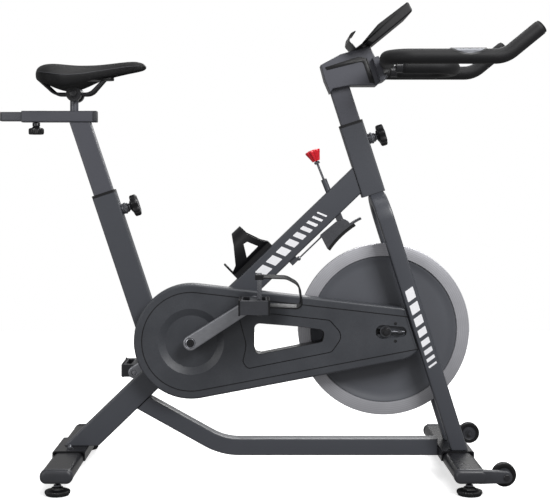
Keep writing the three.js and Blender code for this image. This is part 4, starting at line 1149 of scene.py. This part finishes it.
@dataclass
class Handlebar:
    """Bar, loop and foam grips, pulse sensors, the bracket and the tablet holder."""

    steel_radius: float = 14.5
    grip_radius: float = 17.0
    body: str = "handlebar"

    def build(self) -> None:
        """Makes everything on the handlebar post."""
        dress(["handlebar_bracket"], POST_PAINT, 0.9)
        self.bars()
        self.loop()
        self.plate_bolts()
        self.bracket_trim()
        self.tablet_holder()

    def half_route(self, side: Side) -> list[Vector]:
        """Centre line of one half of the bar, from the bracket to the tip of the horn."""
        low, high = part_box("handlebar_bar")
        axes = side_view(Vector((high.x, 0, low.z)))
        y, r = side.value, self.grip_radius
        corners = [(-333.2, r, 0, 0), (-333.2, r, 36 * y, 60), (-352.7, r, 200 * y, 50),
                   (-91.7, r, 200 * y, 60), (-10.74, r + 66, 200 * y, 0)]
        return even(route(corners, axes, 16), 5.0)

    def bars(self) -> None:
        """Steel bar through the bracket, and a foam grip with an end plug on each horn."""
        for side in Side:
            line = self.half_route(side)
            start = next(i for i, p in enumerate(line) if abs(p.y) > 0.060)
            Shape().sweep(line[:start + 6], circle(self.steel_radius, 32), UP).place(
                f"bar_steel_{side.label}", self.body, BLACK_STEEL,
                ["handlebar_bar"] if side is Side.RIGHT else [])
            self.grip(f"grip_{side.label}", line[start:])
            tip, ahead = line[-1], (line[-1] - line[-2]).normalized()
            Shape().lathe([(0, -3), (13.4, -3), (13.6, -0.2), (15.8, 0.1), (15.9, 1.2), (14.6, 2.6), (9, 3.6),
                           (0, 4.0)], spun(tip - ahead * 1.2 * MM, ahead), 48).place(
                f"grip_plug_{side.label}", self.body, BLACK_NYLON)
            self.sensor(side)

    def grip(self, name: str, line: Sequence[Vector]) -> None:
        """Foam sleeve with rounded ends along a line."""
        whole = sum((b - a).length for a, b in zip(line, line[1:])) / MM
        reach = 5.0

        def grow(share: float) -> float:
            """Radius share: quarter rounds over the last millimetres."""
            left = min(share, 1 - share) * whole
            if left >= reach:
                return 1.0
            return 0.86 + 0.14 * math.sqrt(max(1 - (1 - left / reach) ** 2, 0))

        foam = Shape().sweep(line, circle(self.grip_radius, 40), UP, grow).place(name, self.body, GRIP_FOAM)

    def patch(self, name: str, axes: Axes, half_length: float, half_angle: float, inner: float, outer: float,
              finish: Finish) -> None:
        """Oval plate wrapped over a round bar.

        Args:
            name: the piece's name.
            axes: u along the bar, v up and w across it, on the bar's centre line.
            half_length: half its length.
            half_angle: half the angle that it wraps at its middle, in degrees.
            inner: radius of its under side.
            outer: radius of its upper side.
            finish: its finish.
        """
        rings = []
        steps = 22
        for i in range(steps + 1):
            x = -math.cos(math.pi * i / steps) * 0.998
            wide = math.radians(half_angle) * math.sqrt(1 - x * x)
            turns = [wide * (2 * k / 18 - 1) for k in range(19)]
            over = [axes.at(half_length * x, outer * math.cos(a), outer * math.sin(a)) for a in turns]
            under = [axes.at(half_length * x, inner * math.cos(a),
                inner * math.sin(a)) for a in reversed(turns)]
            rings.append(over + under)
        Shape().loft(rings).place(name, self.body, finish)

    def sensor(self, side: Side) -> None:
        """Pulse sensor: two steel plates in a moulded housing on top of the horn."""
        low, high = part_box("handlebar_bar")
        centre = Vector((high.x - 0.172, side.value * 0.2, low.z + self.grip_radius * MM))
        axes = side_view(centre)
        self.patch(f"sensor_housing_{side.label}", axes, 42, 84, 16.6, 17.7, BLACK_NYLON)
        self.patch(f"sensor_plate_{side.label}", axes, 37, 72, 17.4, 18.3, ZINC)
        self.patch(f"sensor_ridge_{side.label}", axes, 40, 9, 17.4, 19.0, BLACK_NYLON)

    def loop(self) -> None:
        """Middle loop: one foam sleeve on a steel bar that runs into the bracket's plate."""
        low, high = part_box("handlebar_loop")
        axes = side_view(Vector((high.x, 0, low.z)))
        r = self.grip_radius
        start = (low.x - high.x) / MM
        corners = [(start, r, -56, 0), (-r, r, -56, 52), (-r, r, 56, 52), (start, r, 56, 0)]
        line = even(route(corners, axes, 20), 5.0)
        Shape().sweep(line, circle(self.steel_radius, 32), UP).place(
            "loop_steel", self.body, BLACK_STEEL, ["handlebar_loop"])
        self.grip("loop_grip", line[3:-3])

    def plate_bolts(self) -> None:
        """Four cap screws with washers on the bracket's front plate."""
        up = joint_axis("handlebar_height")
        low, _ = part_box("handlebar_bracket")
        axes = along(Vector((low.x + 135.4 * MM, 0, low.z + 56 * MM)), up)
        for number, (v, w) in enumerate(((-20, -42), (-20, 42), (20, -42), (20, 42))):
            spot = axes.at(8, v, w)
            screw = spun(spot, axes.u)
            Shape().lathe([(0, 0), (7, 0), (7, 1.4), (4.9, 1.5), (4.9, 5.6), (4.2, 6.4), (2.6, 6.4),
                (2.4, 3.5),
                           (0, 3.5)], screw, 32).place(f"plate_screw_{number}", self.body, ZINC)

    def bracket_trim(self) -> None:
        """Black trim strip over the top and front of the bracket's side panels."""
        low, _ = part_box("handlebar_bracket")
        axes = side_view(Vector((low.x, 0, low.z)))
        strip = rounded([(10, 61, 1), (94, 88, 40), (110, 81, 10), (128, 22, 1), (115, 25, 1), (99, 75, 8),
                         (14, 54, 1)], 12)
        for side in Side:
            Shape().slab(strip, axes, *sorted((side.value * 30.8, side.value * 31.8)), 0.3).place(
                f"bracket_trim_{side.label}", self.body, BLACK_NYLON)

    def tablet_holder(self) -> None:
        """Thick sloping tray with a shallow well and ribs, and a thin ledge that ends in a hook."""
        low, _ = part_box("tablet_holder")
        axes = side_view(Vector((low.x, 0, low.z)))
        tray = rounded([(134, 112.5, 4), (145.5, 90, 7), (53, 14, 4), (40, 19, 3), (30, 9, 1), (25, 12.5, 1),
                        (64.5, 59.4, 30)])
        body = Shape().slab(tray, axes, -80, 80, 4, 4)
        slope = Vector((69.5, 0, 53.1)).normalized()
        face = Axes(axes.at(64.5, 59.4, 0), ACROSS, slope, ACROSS.cross(slope))
        up = 1 if face.w.z > 0 else -1
        body.combine(Shape().slab(rectangle(-72, 72, 4, 80, 8), face, *sorted((-2.2 * up, 4 * up))))
        body.place("tablet_tray", self.body, BLACK_NYLON, ["tablet_holder"], 0.4)
        for number in range(4):
            v = 14 + 17 * number
            Shape().slab(rectangle(-60, 60, v, v + 3, 1.4), face, *sorted((-2.4 * up, -1.2 * up))).place(
                f"tablet_rib_{number}", self.body, GREY_NYLON)
        section = rectangle(-62, 62, -1.2, 1.2, 0.5)
        hook = route([(27, 14, 0, 0), (14, 4.5, 0, 3), (-1.0, 22, 0, 6), (1.5, 39, 0, 12), (14, 45.5, 0,
            0)], axes, 8)
        Shape().sweep(hook, section, ACROSS).place("tablet_ledge", self.body, BLACK_NYLON)
        stiffener = [axes.at(20.5, 10, 0), axes.at(9.5, 23, 0)]
        Shape().sweep(stiffener, rectangle(-8, 8, -1.0, 1.0, 0.3), ACROSS).place(
            "tablet_stop", self.body, BLACK_NYLON)


def even(points: Sequence[Vector], step: float) -> list[Vector]:
    """Points spaced evenly along a line, about step millimetres apart."""
    lengths = [0.0]
    for a, b in zip(points, points[1:]):
        lengths.append(lengths[-1] + (b - a).length)
    count = max(2, round(lengths[-1] / (step * MM)))
    made, i = [], 0
    for k in range(count + 1):
        target = lengths[-1] * k / count
        while i < len(points) - 2 and lengths[i + 1] < target:
            i += 1
        span = max(lengths[i + 1] - lengths[i], 1e-9)
        made.append(points[i].lerp(points[i + 1], (target - lengths[i]) / span))
    return made


def clipped(outline: Outline, inside: Callable[[float, float], float]) -> Outline:
    """Part of an outline where inside is positive, closed by a straight edge."""
    kept = []
    for (x0, y0), (x1, y1) in zip(outline, outline[1:] + outline[:1]):
        a, b = inside(x0, y0), inside(x1, y1)
        if a > 0:
            kept.append((x0, y0))
        if a * b < 0:
            t = a / (a - b)
            kept.append((x0 + (x1 - x0) * t, y0 + (y1 - y0) * t))
    return kept


@dataclass
class DriveCover:
    """Long moulded cover over the belt, with a window, a dished ring round the crank, and one groove."""

    radius: float = 134.0
    reach: float = 480.0
    taper: float = 8.6
    rise: float = 2.1
    wall: float = 3.4
    rim: float = 6.0
    margin: float = 18.0
    groove: float = 2.2
    groove_depth: float = 2.4
    dish: float = 8.0
    fork_gap: float = 20.4

    def __post_init__(self) -> None:
        """Finds the cover's place from the crank and the frame node."""
        low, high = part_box("drive_cover")
        self.crank = joint_place("crank_spin")
        self.axes = side_view(Vector((self.crank.x, 0, self.crank.z)))
        self.face, self.back = low.y / MM, high.y / MM
        turn = math.radians(self.rise)
        self.tip = Vector((math.cos(turn), math.sin(turn))) * self.reach
        self.tip_radius = self.radius - self.reach * math.sin(math.radians(self.taper))
        self.leg = FrameTubes().leg_axes()

    def behind_fork(self, u: float, v: float) -> float:
        """How far a point of the side view lies behind the fork's clearance line."""
        point = self.axes.at(u, v, 0)
        return -((point - self.leg.origin).dot(self.leg.u) / MM + self.fork_gap)

    def whole_outline(self, distance: float, further: float = 0) -> Outline:
        """The cover's outline, moved in by a distance and drawn on past its tip, not cut off at the fork."""
        tip_radius = self.tip_radius - further * math.sin(math.radians(self.taper))
        tip = self.tip * (1 + further / self.reach)
        return belt(Vector((0, 0)), self.radius - distance, tip, tip_radius - distance, 96)

    def outline(self, distance: float, further: float = 0) -> Outline:
        """The cover's outline, moved in by a distance and cut off at the fork."""
        return clipped(self.whole_outline(distance, further), self.behind_fork)

    def window(self, grow: float = 0) -> Outline:
        """The sight window's outline."""
        return inset(rounded([(146.5, 44.5, 13), (249, 36.5, 80), (312.5, 27.5, 12), (307, -0.5, 9),
                              (146.5, -32, 14)]), -grow)

    def panel(self) -> Outline:
        """Outline of the panel groove round the window."""
        return rounded([(109, 62, 8), (128, -8, 40), (119, -47, 12), (131, -64, 12), (328, -25, 16),
                        (356, 14, 24), (323.6, 51, 14), (189, 66, 90)])

    def build(self) -> None:
        """Makes the shell and its screws, and dresses the back plate."""
        dress(["drive_cover_back"], COVER_ABS)
        self.shell().place("cover_shell", "frame", COVER_ABS, ["drive_cover"], 0.35, math.radians(12))
        self.seams()
        self.screws()
        self.axle_hardware()

    def shell(self) -> Shape:
        """Thin shell, open at the back, with everything moulded into it."""
        face, back = self.face, self.back
        outward = spun(self.crank, -ACROSS)
        outer = Shape().slab(self.outline(0), self.axes, face, back, self.rim, 4, rims=(True, False))
        cavity = Shape().slab(self.outline(self.wall), self.axes, face + self.wall, back + 20,
            self.rim - 2, 3,
                              rims=(True, False))
        cavity.combine(Shape().slab(self.window(self.wall), self.axes, face - 5, back + 40))
        dish_floor = -face - self.dish
        cavity.combine(Shape().lathe([(0, dish_floor - self.wall), (61, dish_floor - self.wall),
                                      (78, -face - self.wall + 0.2), (78, -face), (0, -face)], outward, 96))
        outer.combine(cavity)
        outer.combine(Shape().slab(self.window(), self.axes, face - 5, back + 40))
        outer.combine(Shape().lathe([(0, dish_floor), (60.5, dish_floor), (77, -face + 0.01), (77, -face + 4),
                                     (0, -face + 4)], outward, 128))
        outer.combine(Shape().lathe([(0, 0), (13.5, 0), (13.5, -face + 6), (0, -face + 6)], outward, 48))
        groove = Shape().slab(self.panel(), self.axes, face - 2, face + self.groove_depth)
        groove.combine(Shape().slab(inset(self.panel(), self.groove), self.axes, face - 4, face + 6))
        outer.combine(groove)
        hub = Vector(((HUB_PLACE.x - self.crank.x) / MM, (HUB_PLACE.z - self.crank.z) / MM))
        slot = belt(hub + Vector((-8, 0)), 16, hub + Vector((36, 0)), 12, 32)
        outer.combine(Shape().slab(slot, self.axes, face - 4, face + 7))
        return outer

    def seams(self) -> None:
        """Black strips of painted shade: a bead along the cover's edge and another in the window's groove,
        standing for the shade in narrow grooves, and the window's black lining, standing for the shade on its
        walls.
        """
        floor = self.face + self.groove_depth
        panel = self.panel()
        rings = {
            "edge": (self.outline(self.margin, 60), self.whole_outline(self.margin + self.groove, 60),
                     self.face - 0.2),
            "window": (panel, inset(panel, self.groove), floor - 1.0)}
        for name, (outline, inner, top) in rings.items():
            # each bead is a black strip of painted shade, standing for the shade in a narrow groove
            bead = Shape().slab(outline, self.axes, top, top + 1.2)
            bead.combine(Shape().slab(inner, self.axes, top - 2, top + 4))
            bead.place(f"cover_bead_{name}", "frame", BLACK_NYLON)
        # the lining is a black sheet of painted shade over the window's inner walls
        painted_wall_shade = Shape().slab(self.window(0.2), self.axes, self.face + 0.1, self.back - 0.2)
        painted_wall_shade.combine(Shape().slab(self.window(-0.9), self.axes, self.face - 5, self.back + 5))
        painted_wall_shade.place("cover_window_lining", "frame", BLACK_NYLON)

    def screws(self) -> None:
        """Small cross-head screws over and under the axle slot."""
        spots = [(476, 42.6), (476, 1.8)]
        for number, (u, v) in enumerate(spots):
            outward = spun(self.axes.at(u, v, self.face), -ACROSS)
            Shape().lathe([(0, -0.6), (3.6, -0.6), (3.6, 0.5), (3.0, 1.1), (1.2, 1.3), (0.9, 0.5), (0, 0.5)],
                          outward, 24).place(f"cover_screw_{number}", "frame", BLACK_STEEL)

    def axle_hardware(self) -> None:
        """Washer and stud seen in the axle slot."""
        dress(["flywheel_axle"], BLACK_STEEL, 0.5)
        dress(["belt_adjuster"], ZINC, 0.3)
        for side in Side:
            outward = spun(HUB_PLACE, Vector((0, side.value, 0)))
            face = 54.4
            Shape().lathe([(6.4, face), (13.5, face), (13.5, face + 1.4), (6.4, face + 1.4), (6.4, face)],
                          outward, 48).place(f"axle_washer_{side.label}", "frame", ZINC)


@dataclass
class Cranks:
    """Crank arms with their bolts, and the pedals with cages and straps."""

    length: float = 175.0

    def build(self) -> None:
        """Makes both sides, half a turn apart."""
        dress(["crank_spindle"], ZINC, 0.6)
        dress(["drive_pulley", "flywheel_pulley"], BLACK_NYLON, 0.5)
        dress(["drive_belt"], FOOT_RUBBER)
        for side in Side:
            self.arm(side)
            self.pedal(side)
            self.cage(side)
            self.strap(side)

    def arm(self, side: Side) -> None:
        """Forged arm with softened edges, a recessed boss and a pedal eye."""
        node = f"crank_{side.label}"
        crank, pedal = joint_place("crank_spin"), joint_place(f"pedal_{side.label}_spin")
        axes = side_view(Vector((crank.x, 0, crank.z)))
        end = Vector(((pedal.x - crank.x) / MM, (pedal.z - crank.z) / MM))
        low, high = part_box(node)
        arm = Shape().slab(belt(Vector((0, 0)), 17, end, 14.5, 48), axes, low.y / MM, high.y / MM, 3.2, 4)
        outer = abs(low.y if side is Side.RIGHT else high.y) / MM
        outward = spun(Vector((crank.x, 0, crank.z)), Vector((0, side.value, 0)))
        arm.combine(Shape().lathe([(0, outer - 3.6), (11.5, outer - 3.6), (12.2, outer + 1), (0, outer + 1)],
                                  outward, 64))
        arm.combine(Shape().lathe([(0, 40), (8.8, 40), (8.8, outer + 3), (0, outer + 3)], outward, 40))
        eye = spun(Vector((pedal.x, 0, pedal.z)), Vector((0, side.value, 0)))
        arm.combine(Shape().lathe([(0, 40), (6.3, 40), (6.3, outer + 3), (0, outer + 3)], eye, 40))
        arm.place(node + "_arm", "crank", CRANK_ALLOY, [node], 0.3)
        ring = outer - 3.5
        Shape().lathe([(8.9, ring), (11.2, ring), (11.2, ring + 1.6), (9.6, ring + 2.4), (8.9, ring + 2.4),
                       (8.9, ring)], outward, 48).place(f"{node}_ring", "crank", BRIGHT_STEEL)
        bolt = Shape().lathe([(0, ring + 0.2), (8.5, ring + 0.2), (8.5, ring + 1.4), (7.6, ring + 2.6),
                              (0, ring + 2.6)], outward, 48)
        bolt.combine(Shape().slab(rectangle(-3.6, 3.6, -3.6, 3.6, 0.4), outward, ring + 1.0, ring + 5))
        bolt.place(f"{node}_bolt", "crank", BLACK_STEEL)
        Shape().slab(circle(5.6, 6), eye, outer - 11, outer - 3.2, 0.6).place(
            f"pedal_{side.label}_axle_end", f"pedal_{side.label}", BLACK_STEEL)

    def pedal(self, side: Side) -> None:
        """Moulded platform with two openings, a barrel round the axle, treads and grooved ends."""
        body = f"pedal_{side.label}"
        place = joint_place(f"{body}_spin")
        plan = Axes(place, FORWARD, ACROSS, UP)
        shape = Shape().slab(rectangle(-35, 35, -50, 50, 5), plan, -15.5, 15.5, 1.8)
        for u in (-17.5, 17.5):
            shape.combine(Shape().slab(rectangle(u - 7.5, u + 7.5, -39, 39, 3), plan, -30, 30))
        outer = side.value * 50
        for u in (-29, 29):
            end = Axes(place, FORWARD, UP, ACROSS)
            shape.combine(Shape().slab(rectangle(u - 1.2, u + 1.2, -18, 18), end, *sorted(
                (outer - side.value * 1.6, outer + side.value * 3))))
        shape.place(f"{body}_platform", body, GREY_NYLON, [body], 0.4)
        rail = Axes(place, FORWARD, UP, ACROSS * side.value)
        Shape().slab(rectangle(-31.2, 31.2, -15.5, 15.5), rail, 54.8, 56.8).place(
            f"{body}_end_plate", body, GREY_NYLON, soften=0.4)
        caps = Shape()
        for u in (-1, 1):
            caps.slab(rectangle(*sorted((u * 31, u * 35)), -17.5, 17.5, 1), rail, 47, 57.6)
        caps.place(f"{body}_end_caps", body, BLACK_NYLON, soften=0.4)
        barrel = spun(place, Vector((0, side.value, 0)))
        Shape().lathe([(0, -38.9), (8.8, -38.9), (8.8, 38.9), (0, 38.9)], barrel, 32).place(
            f"{body}_barrel", body, BLACK_NYLON)
        Shape().lathe([(0, -77.5), (5.4, -77.5), (6, -76.9), (6, -66), (7.6, -64.6), (7.6, -58), (6.4, -56.6),
                       (6.4, -50.2), (0, -50.2)], barrel, 40).place(f"{body}_axle", body, BRIGHT_STEEL)
        treads = Shape()
        for level in (-1, 1):
            for u in (-31, 31):
                for k in range(9):
                    v = -40 + 10 * k
                    treads.slab(rectangle(u - 2.4, u + 2.4, v - 2.5, v + 2.5, 0.6), plan,
                                *sorted((level * 14.6, level * 17.0)))
        treads.place(f"{body}_treads", body, BLACK_NYLON)
        for u in (-1, 1):
            front = Axes(place, ACROSS, UP, FORWARD)
            Shape().slab(rectangle(-30, 30, -8, 8, 2), front, *sorted((u * 34.2, u * 35.6))).place(
                f"{body}_reflector_{'front' if u > 0 else 'rear'}", body, BLACK_NYLON)

    def cage(self, side: Side) -> None:
        """Toe cage: a ribbed band that runs ahead of the pedal and curls back over the shoe."""
        body = f"pedal_{side.label}"
        axes = side_view(joint_place(f"{body}_spin"))
        line = route([(35.5, 0, 0, 0), (107, -3, 0, 12), (100, 48, 0, 26), (72, 63, 0, 30), (11, 65, 0, 0)],
                     axes, 10)
        section = [(-38, -1.3)]
        for rib in (-33, -12, 12, 33):
            section += [(rib - 3.4, -1.3), (rib - 2.2, -2.7), (rib + 2.2, -2.7), (rib + 3.4, -1.3)]
        section += [(38, -1.3), (38, 1.3), (-38, 1.3)]
        Shape().sweep(line, section, ACROSS).place(
            f"toe_cage_{side.label}_band", body, BLACK_NYLON, [f"toe_cage_{side.label}"], 0.5)

    def strap(self, side: Side) -> None:
        """Woven strap round pedal and cage, with a buckle and a free tail at the outer side."""
        body = f"pedal_{side.label}"
        place = joint_place(f"{body}_spin")
        front = Axes(place, ACROSS, UP, FORWARD)
        loop = rectangle(-52.6, 52.6, -18.1, 69.6, 3)
        Shape().hoop(loop, 1.9, front, 6.5, 17).place(
            f"toe_strap_{side.label}_webbing", body, STRAP_WEB, [f"toe_strap_{side.label}"])
        y = side.value
        shell = Shape().slab(rectangle(*sorted((y * 44, y * 56)), 62, 74, 2.5), front, 2, 21, 1.2)
        shell.combine(Shape().slab(rectangle(*sorted((y * 47, y * 53)), 60, 76, 1), front, 6, 17))
        shell.place(f"toe_buckle_{side.label}", body, BLACK_NYLON, [], 0.3)
        tail = [front.at(y * u, v, 11.7) for u, v in ((54.4, 62), (56.4, 52), (57.0, 40), (56.2, 28),
            (54.4, 20))]
        Shape().sweep(even(tail, 3), rectangle(-5, 5, -0.8, 0.8, 0.4), FORWARD).place(
            f"toe_strap_tail_{side.label}", body, STRAP_WEB)


@dataclass
class Flywheel:
    """Cast flywheel: a turned bright rim round a painted web, with a hub."""

    radius: float = 203.0
    rim_inner: float = 173.0
    rim_half: float = 11.0

    def build(self) -> None:
        """Makes the rim, the web and the hub."""
        axes = spun(HUB_PLACE, ACROSS)
        r, h = self.radius, self.rim_half
        i = self.rim_inner
        half = [(i, -h + 1.2), (i + 1.2, -h), (r - 2, -h), (r - 0.6, -h + 0.6), (r, -h + 2)]
        profile = half + [(a, -b) for a, b in reversed(half)]
        Shape().lathe(profile + profile[:1], axes, 192).place("flywheel_rim", "flywheel", TURNED_RIM,
            ["flywheel"])
        web = [(9, -16), (26, -16), (28, -14.5), (29, -9), (34, -5.4), (60, -4.6), (150, -4.6), (163, -5.6),
               (168, -8.2), (i - 0.1, -8.6)]
        whole = web + [(a, -b) for a, b in reversed(web)]
        body = Shape().lathe(whole + whole[:1], axes, 160)
        body.place("flywheel_web", "flywheel", DISC_PAINT)
        for side in Side:
            outward = spun(HUB_PLACE, Vector((0, side.value, 0)))
            Shape().lathe([(9.2, 16.1), (20, 16.1), (20, 17.2), (19, 17.8), (10, 17.8), (9.2, 17.0),
                (9.2, 16.1)],
                          outward, 64).place(f"bearing_shield_{side.label}", "flywheel", ZINC)


@dataclass
class Brake:
    """Press brake: a fluted red knob on a screw, a plunger, and a sprung arm with its pad."""

    def build(self) -> None:
        """Makes the knob and dresses the arm."""
        place, down = joint_place("brake_knob_turn"), joint_axis("brake_press")
        axes = spun(place, down)
        profile = [(0, 0.2), (14.5, 0.2), (17.2, 1.0), (18.4, 3.2), (17.4, 6.5), (13.4, 16), (10.4, 24),
                   (9.4, 27), (3.2, 27.4), (0, 27.4)]
        Shape().lathe(profile, axes, 120, lobes=10, dip=2.2).place(
            "brake_knob_grip", "brake_knob", RED_ABS, ["brake_knob"])
        Shape().lathe([(0, -0.9), (10.5, -0.9), (11.5, 0.3), (0, 0.3)], axes, 48).place(
            "brake_knob_disc", "brake_knob", RED_ABS)
        thread = [(3.1 if k % 2 else 2.7, 27.2 + 0.9 * k) for k in range(int((84 + 72) / 0.9 / 2))]
        Shape().lathe([(0, 26), *thread, (0, thread[-1][1])], axes, 24).place(
            "brake_screw", "brake_knob", BRIGHT_STEEL)
        Shape().slab(circle(6.6, 6), axes, 28.5, 34.5, 0.7).place("brake_lock_nut", "brake_knob", ZINC)
        dress(["brake_plunger"], ZINC, 0.8)
        dress(["brake_arm"], ZINC, 1.0)
        dress(["brake_pad"], FOOT_RUBBER, 0.6)
        self.pivot()

    def pivot(self) -> None:
        """Rivets that hold the leaf spring to the boss."""
        place = joint_place("brake_arm_swing")
        for side in Side:
            outward = spun(place, Vector((0, side.value, 0)))
            Shape().lathe([(0, 10.1), (4.6, 10.1), (4.4, 11.4), (2.6, 12.2), (0, 12.4)], outward, 32).place(
                f"brake_rivet_{side.label}", "brake_arm", ZINC)


@dataclass
class BottleCage:
    """Moulded bottle cage screwed to the spine tube."""

    def build(self) -> None:
        """Dresses the cage and adds its screws."""
        dress(["bottle_cage"], BLACK_NYLON, 0.8)
        spine = FrameTubes().spine_axes()
        low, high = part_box("bottle_cage")
        centre = ((low + high) / 2 - spine.origin).dot(spine.v) / MM
        for number, v in enumerate((centre - 34, centre + 36)):
            outward = spun(spine.at(-38.6, v, 0), -spine.u)
            Shape().lathe([(0, -1), (5, -1), (5, 1.6), (4, 2.8), (2.2, 2.9), (2, 1.2), (0, 1.2)],
                outward, 32).place(
                f"cage_screw_{number}", "frame", ZINC)


@dataclass(frozen=True)
class Lamp:
    """Square soft box: where it stands, where it is aimed, its side in metres and its power in watts."""

    name: str
    place: tuple[float, float, float]
    aim: tuple[float, float, float]
    size: float
    power: float


@dataclass
class Studio:
    """Plain pale floor, soft lights and the camera."""

    eye: tuple[float, float, float] = (-0.014, -2.8, 0.682)
    lens: float = 76.98
    shift: tuple[float, float] = (0.0285, -0.1204)
    ambient: float = 0.3
    floor_half: float = 2.6
    floor_glow: float = 0.6
    lamps: tuple[Lamp, ...] = (
        Lamp("key", (1.3, -1.9, 2.2), (0.15, 0, 0.7), 1.1, 74),
        Lamp("fill", (-2.2, -2.2, 1.1), (0, 0, 0.5), 1.6, 22),
        Lamp("top", (0.2, 0.2, 3.2), (0, 0, 0.4), 1.8, 44),
        Lamp("rim", (0.6, 2.6, 2.2), (0, 0, 0.6), 1.6, 45))

    def surround(self) -> None:
        """White all round to the eye, and a dimmer light for the bike, so that its blacks stay black."""
        world = bpy.data.worlds.new("studio")
        world.use_nodes = True
        tree = world.node_tree
        tree.nodes.clear()
        seen = add_node(tree, "ShaderNodeLightPath").outputs["Is Camera Ray"]
        strength = add_node(tree, "ShaderNodeMapRange", {"Value": seen, "To Min": self.ambient,
            "To Max": 1.0})
        white = add_node(tree, "ShaderNodeBackground", {"Color": (1, 1, 1, 1),
            "Strength": strength.outputs[0]})
        add_node(tree, "ShaderNodeOutputWorld", {"Surface": white.outputs[0]})
        bpy.context.scene.world = world
        bpy.context.scene.view_settings.view_transform = "Standard"

    def camera(self) -> None:
        """Looks square at the rider's right side."""
        data = bpy.data.cameras.new("camera")
        data.lens, data.sensor_width = self.lens, 36.0
        data.shift_x, data.shift_y = self.shift
        camera = bpy.data.objects.new("camera", data)
        camera.location = self.eye
        camera.rotation_euler = (math.radians(90), 0, 0)
        bpy.context.scene.collection.objects.link(camera)
        bpy.context.scene.camera = camera

    def floor(self) -> None:
        """White floor that fades into the background."""
        shape = Shape()
        wide = self.floor_half
        corners = [Vector((x * wide, y * wide, -0.0006)) for x, y in ((-1, -1), (1, -1), (1, 1), (-1, 1))]
        shape.mesh.faces.new([shape.mesh.verts.new(c) for c in corners])
        data = bpy.data.meshes.new("floor")
        shape.mesh.to_mesh(data)
        shape.mesh.free()
        floor = bpy.data.objects.new("floor", data)
        bpy.context.scene.collection.objects.link(floor)
        material = bpy.data.materials.new("studio_white")
        material.use_nodes = True
        shader = material.node_tree.nodes["Principled BSDF"]
        shader.inputs["Base Color"].default_value = linear("f4f4f4")
        shader.inputs["Roughness"].default_value = 0.9
        shader.inputs["Emission Color"].default_value = (1, 1, 1, 1)
        shader.inputs["Emission Strength"].default_value = self.floor_glow
        data.materials.append(material)
        floor.visible_diffuse = floor.visible_glossy = False

    def light(self, lamp: Lamp) -> None:
        """Hangs a soft box at its place, aimed at its point."""
        data = bpy.data.lights.new(lamp.name, "AREA")
        data.size, data.energy = lamp.size, lamp.power
        box = bpy.data.objects.new(lamp.name, data)
        box.location = lamp.place
        box.rotation_mode = "QUATERNION"
        box.rotation_quaternion = (Vector(lamp.aim) - Vector(lamp.place)).to_track_quat("-Z", "Y")
        bpy.context.scene.collection.objects.link(box)

    def build(self) -> None:
        """Sets the camera, the floor, the white surround and four soft boxes."""
        self.camera()
        self.floor()
        self.surround()
        for lamp in self.lamps:
            self.light(lamp)


def main() -> None:
    """Builds the bike and its studio.
    """
    logging.basicConfig(level=logging.INFO, format="%(message)s")
    parts = [FrameTubes(), Feet(), Knobs(), Saddle(), SeatSlider(), Handlebar(), DriveCover(), Cranks(),
             Flywheel(), Brake(), BottleCage(), Studio()]
    for part in parts:
        log.info("building %s", type(part).__name__)
        part.build()


if __name__ == "__main__":
    main()
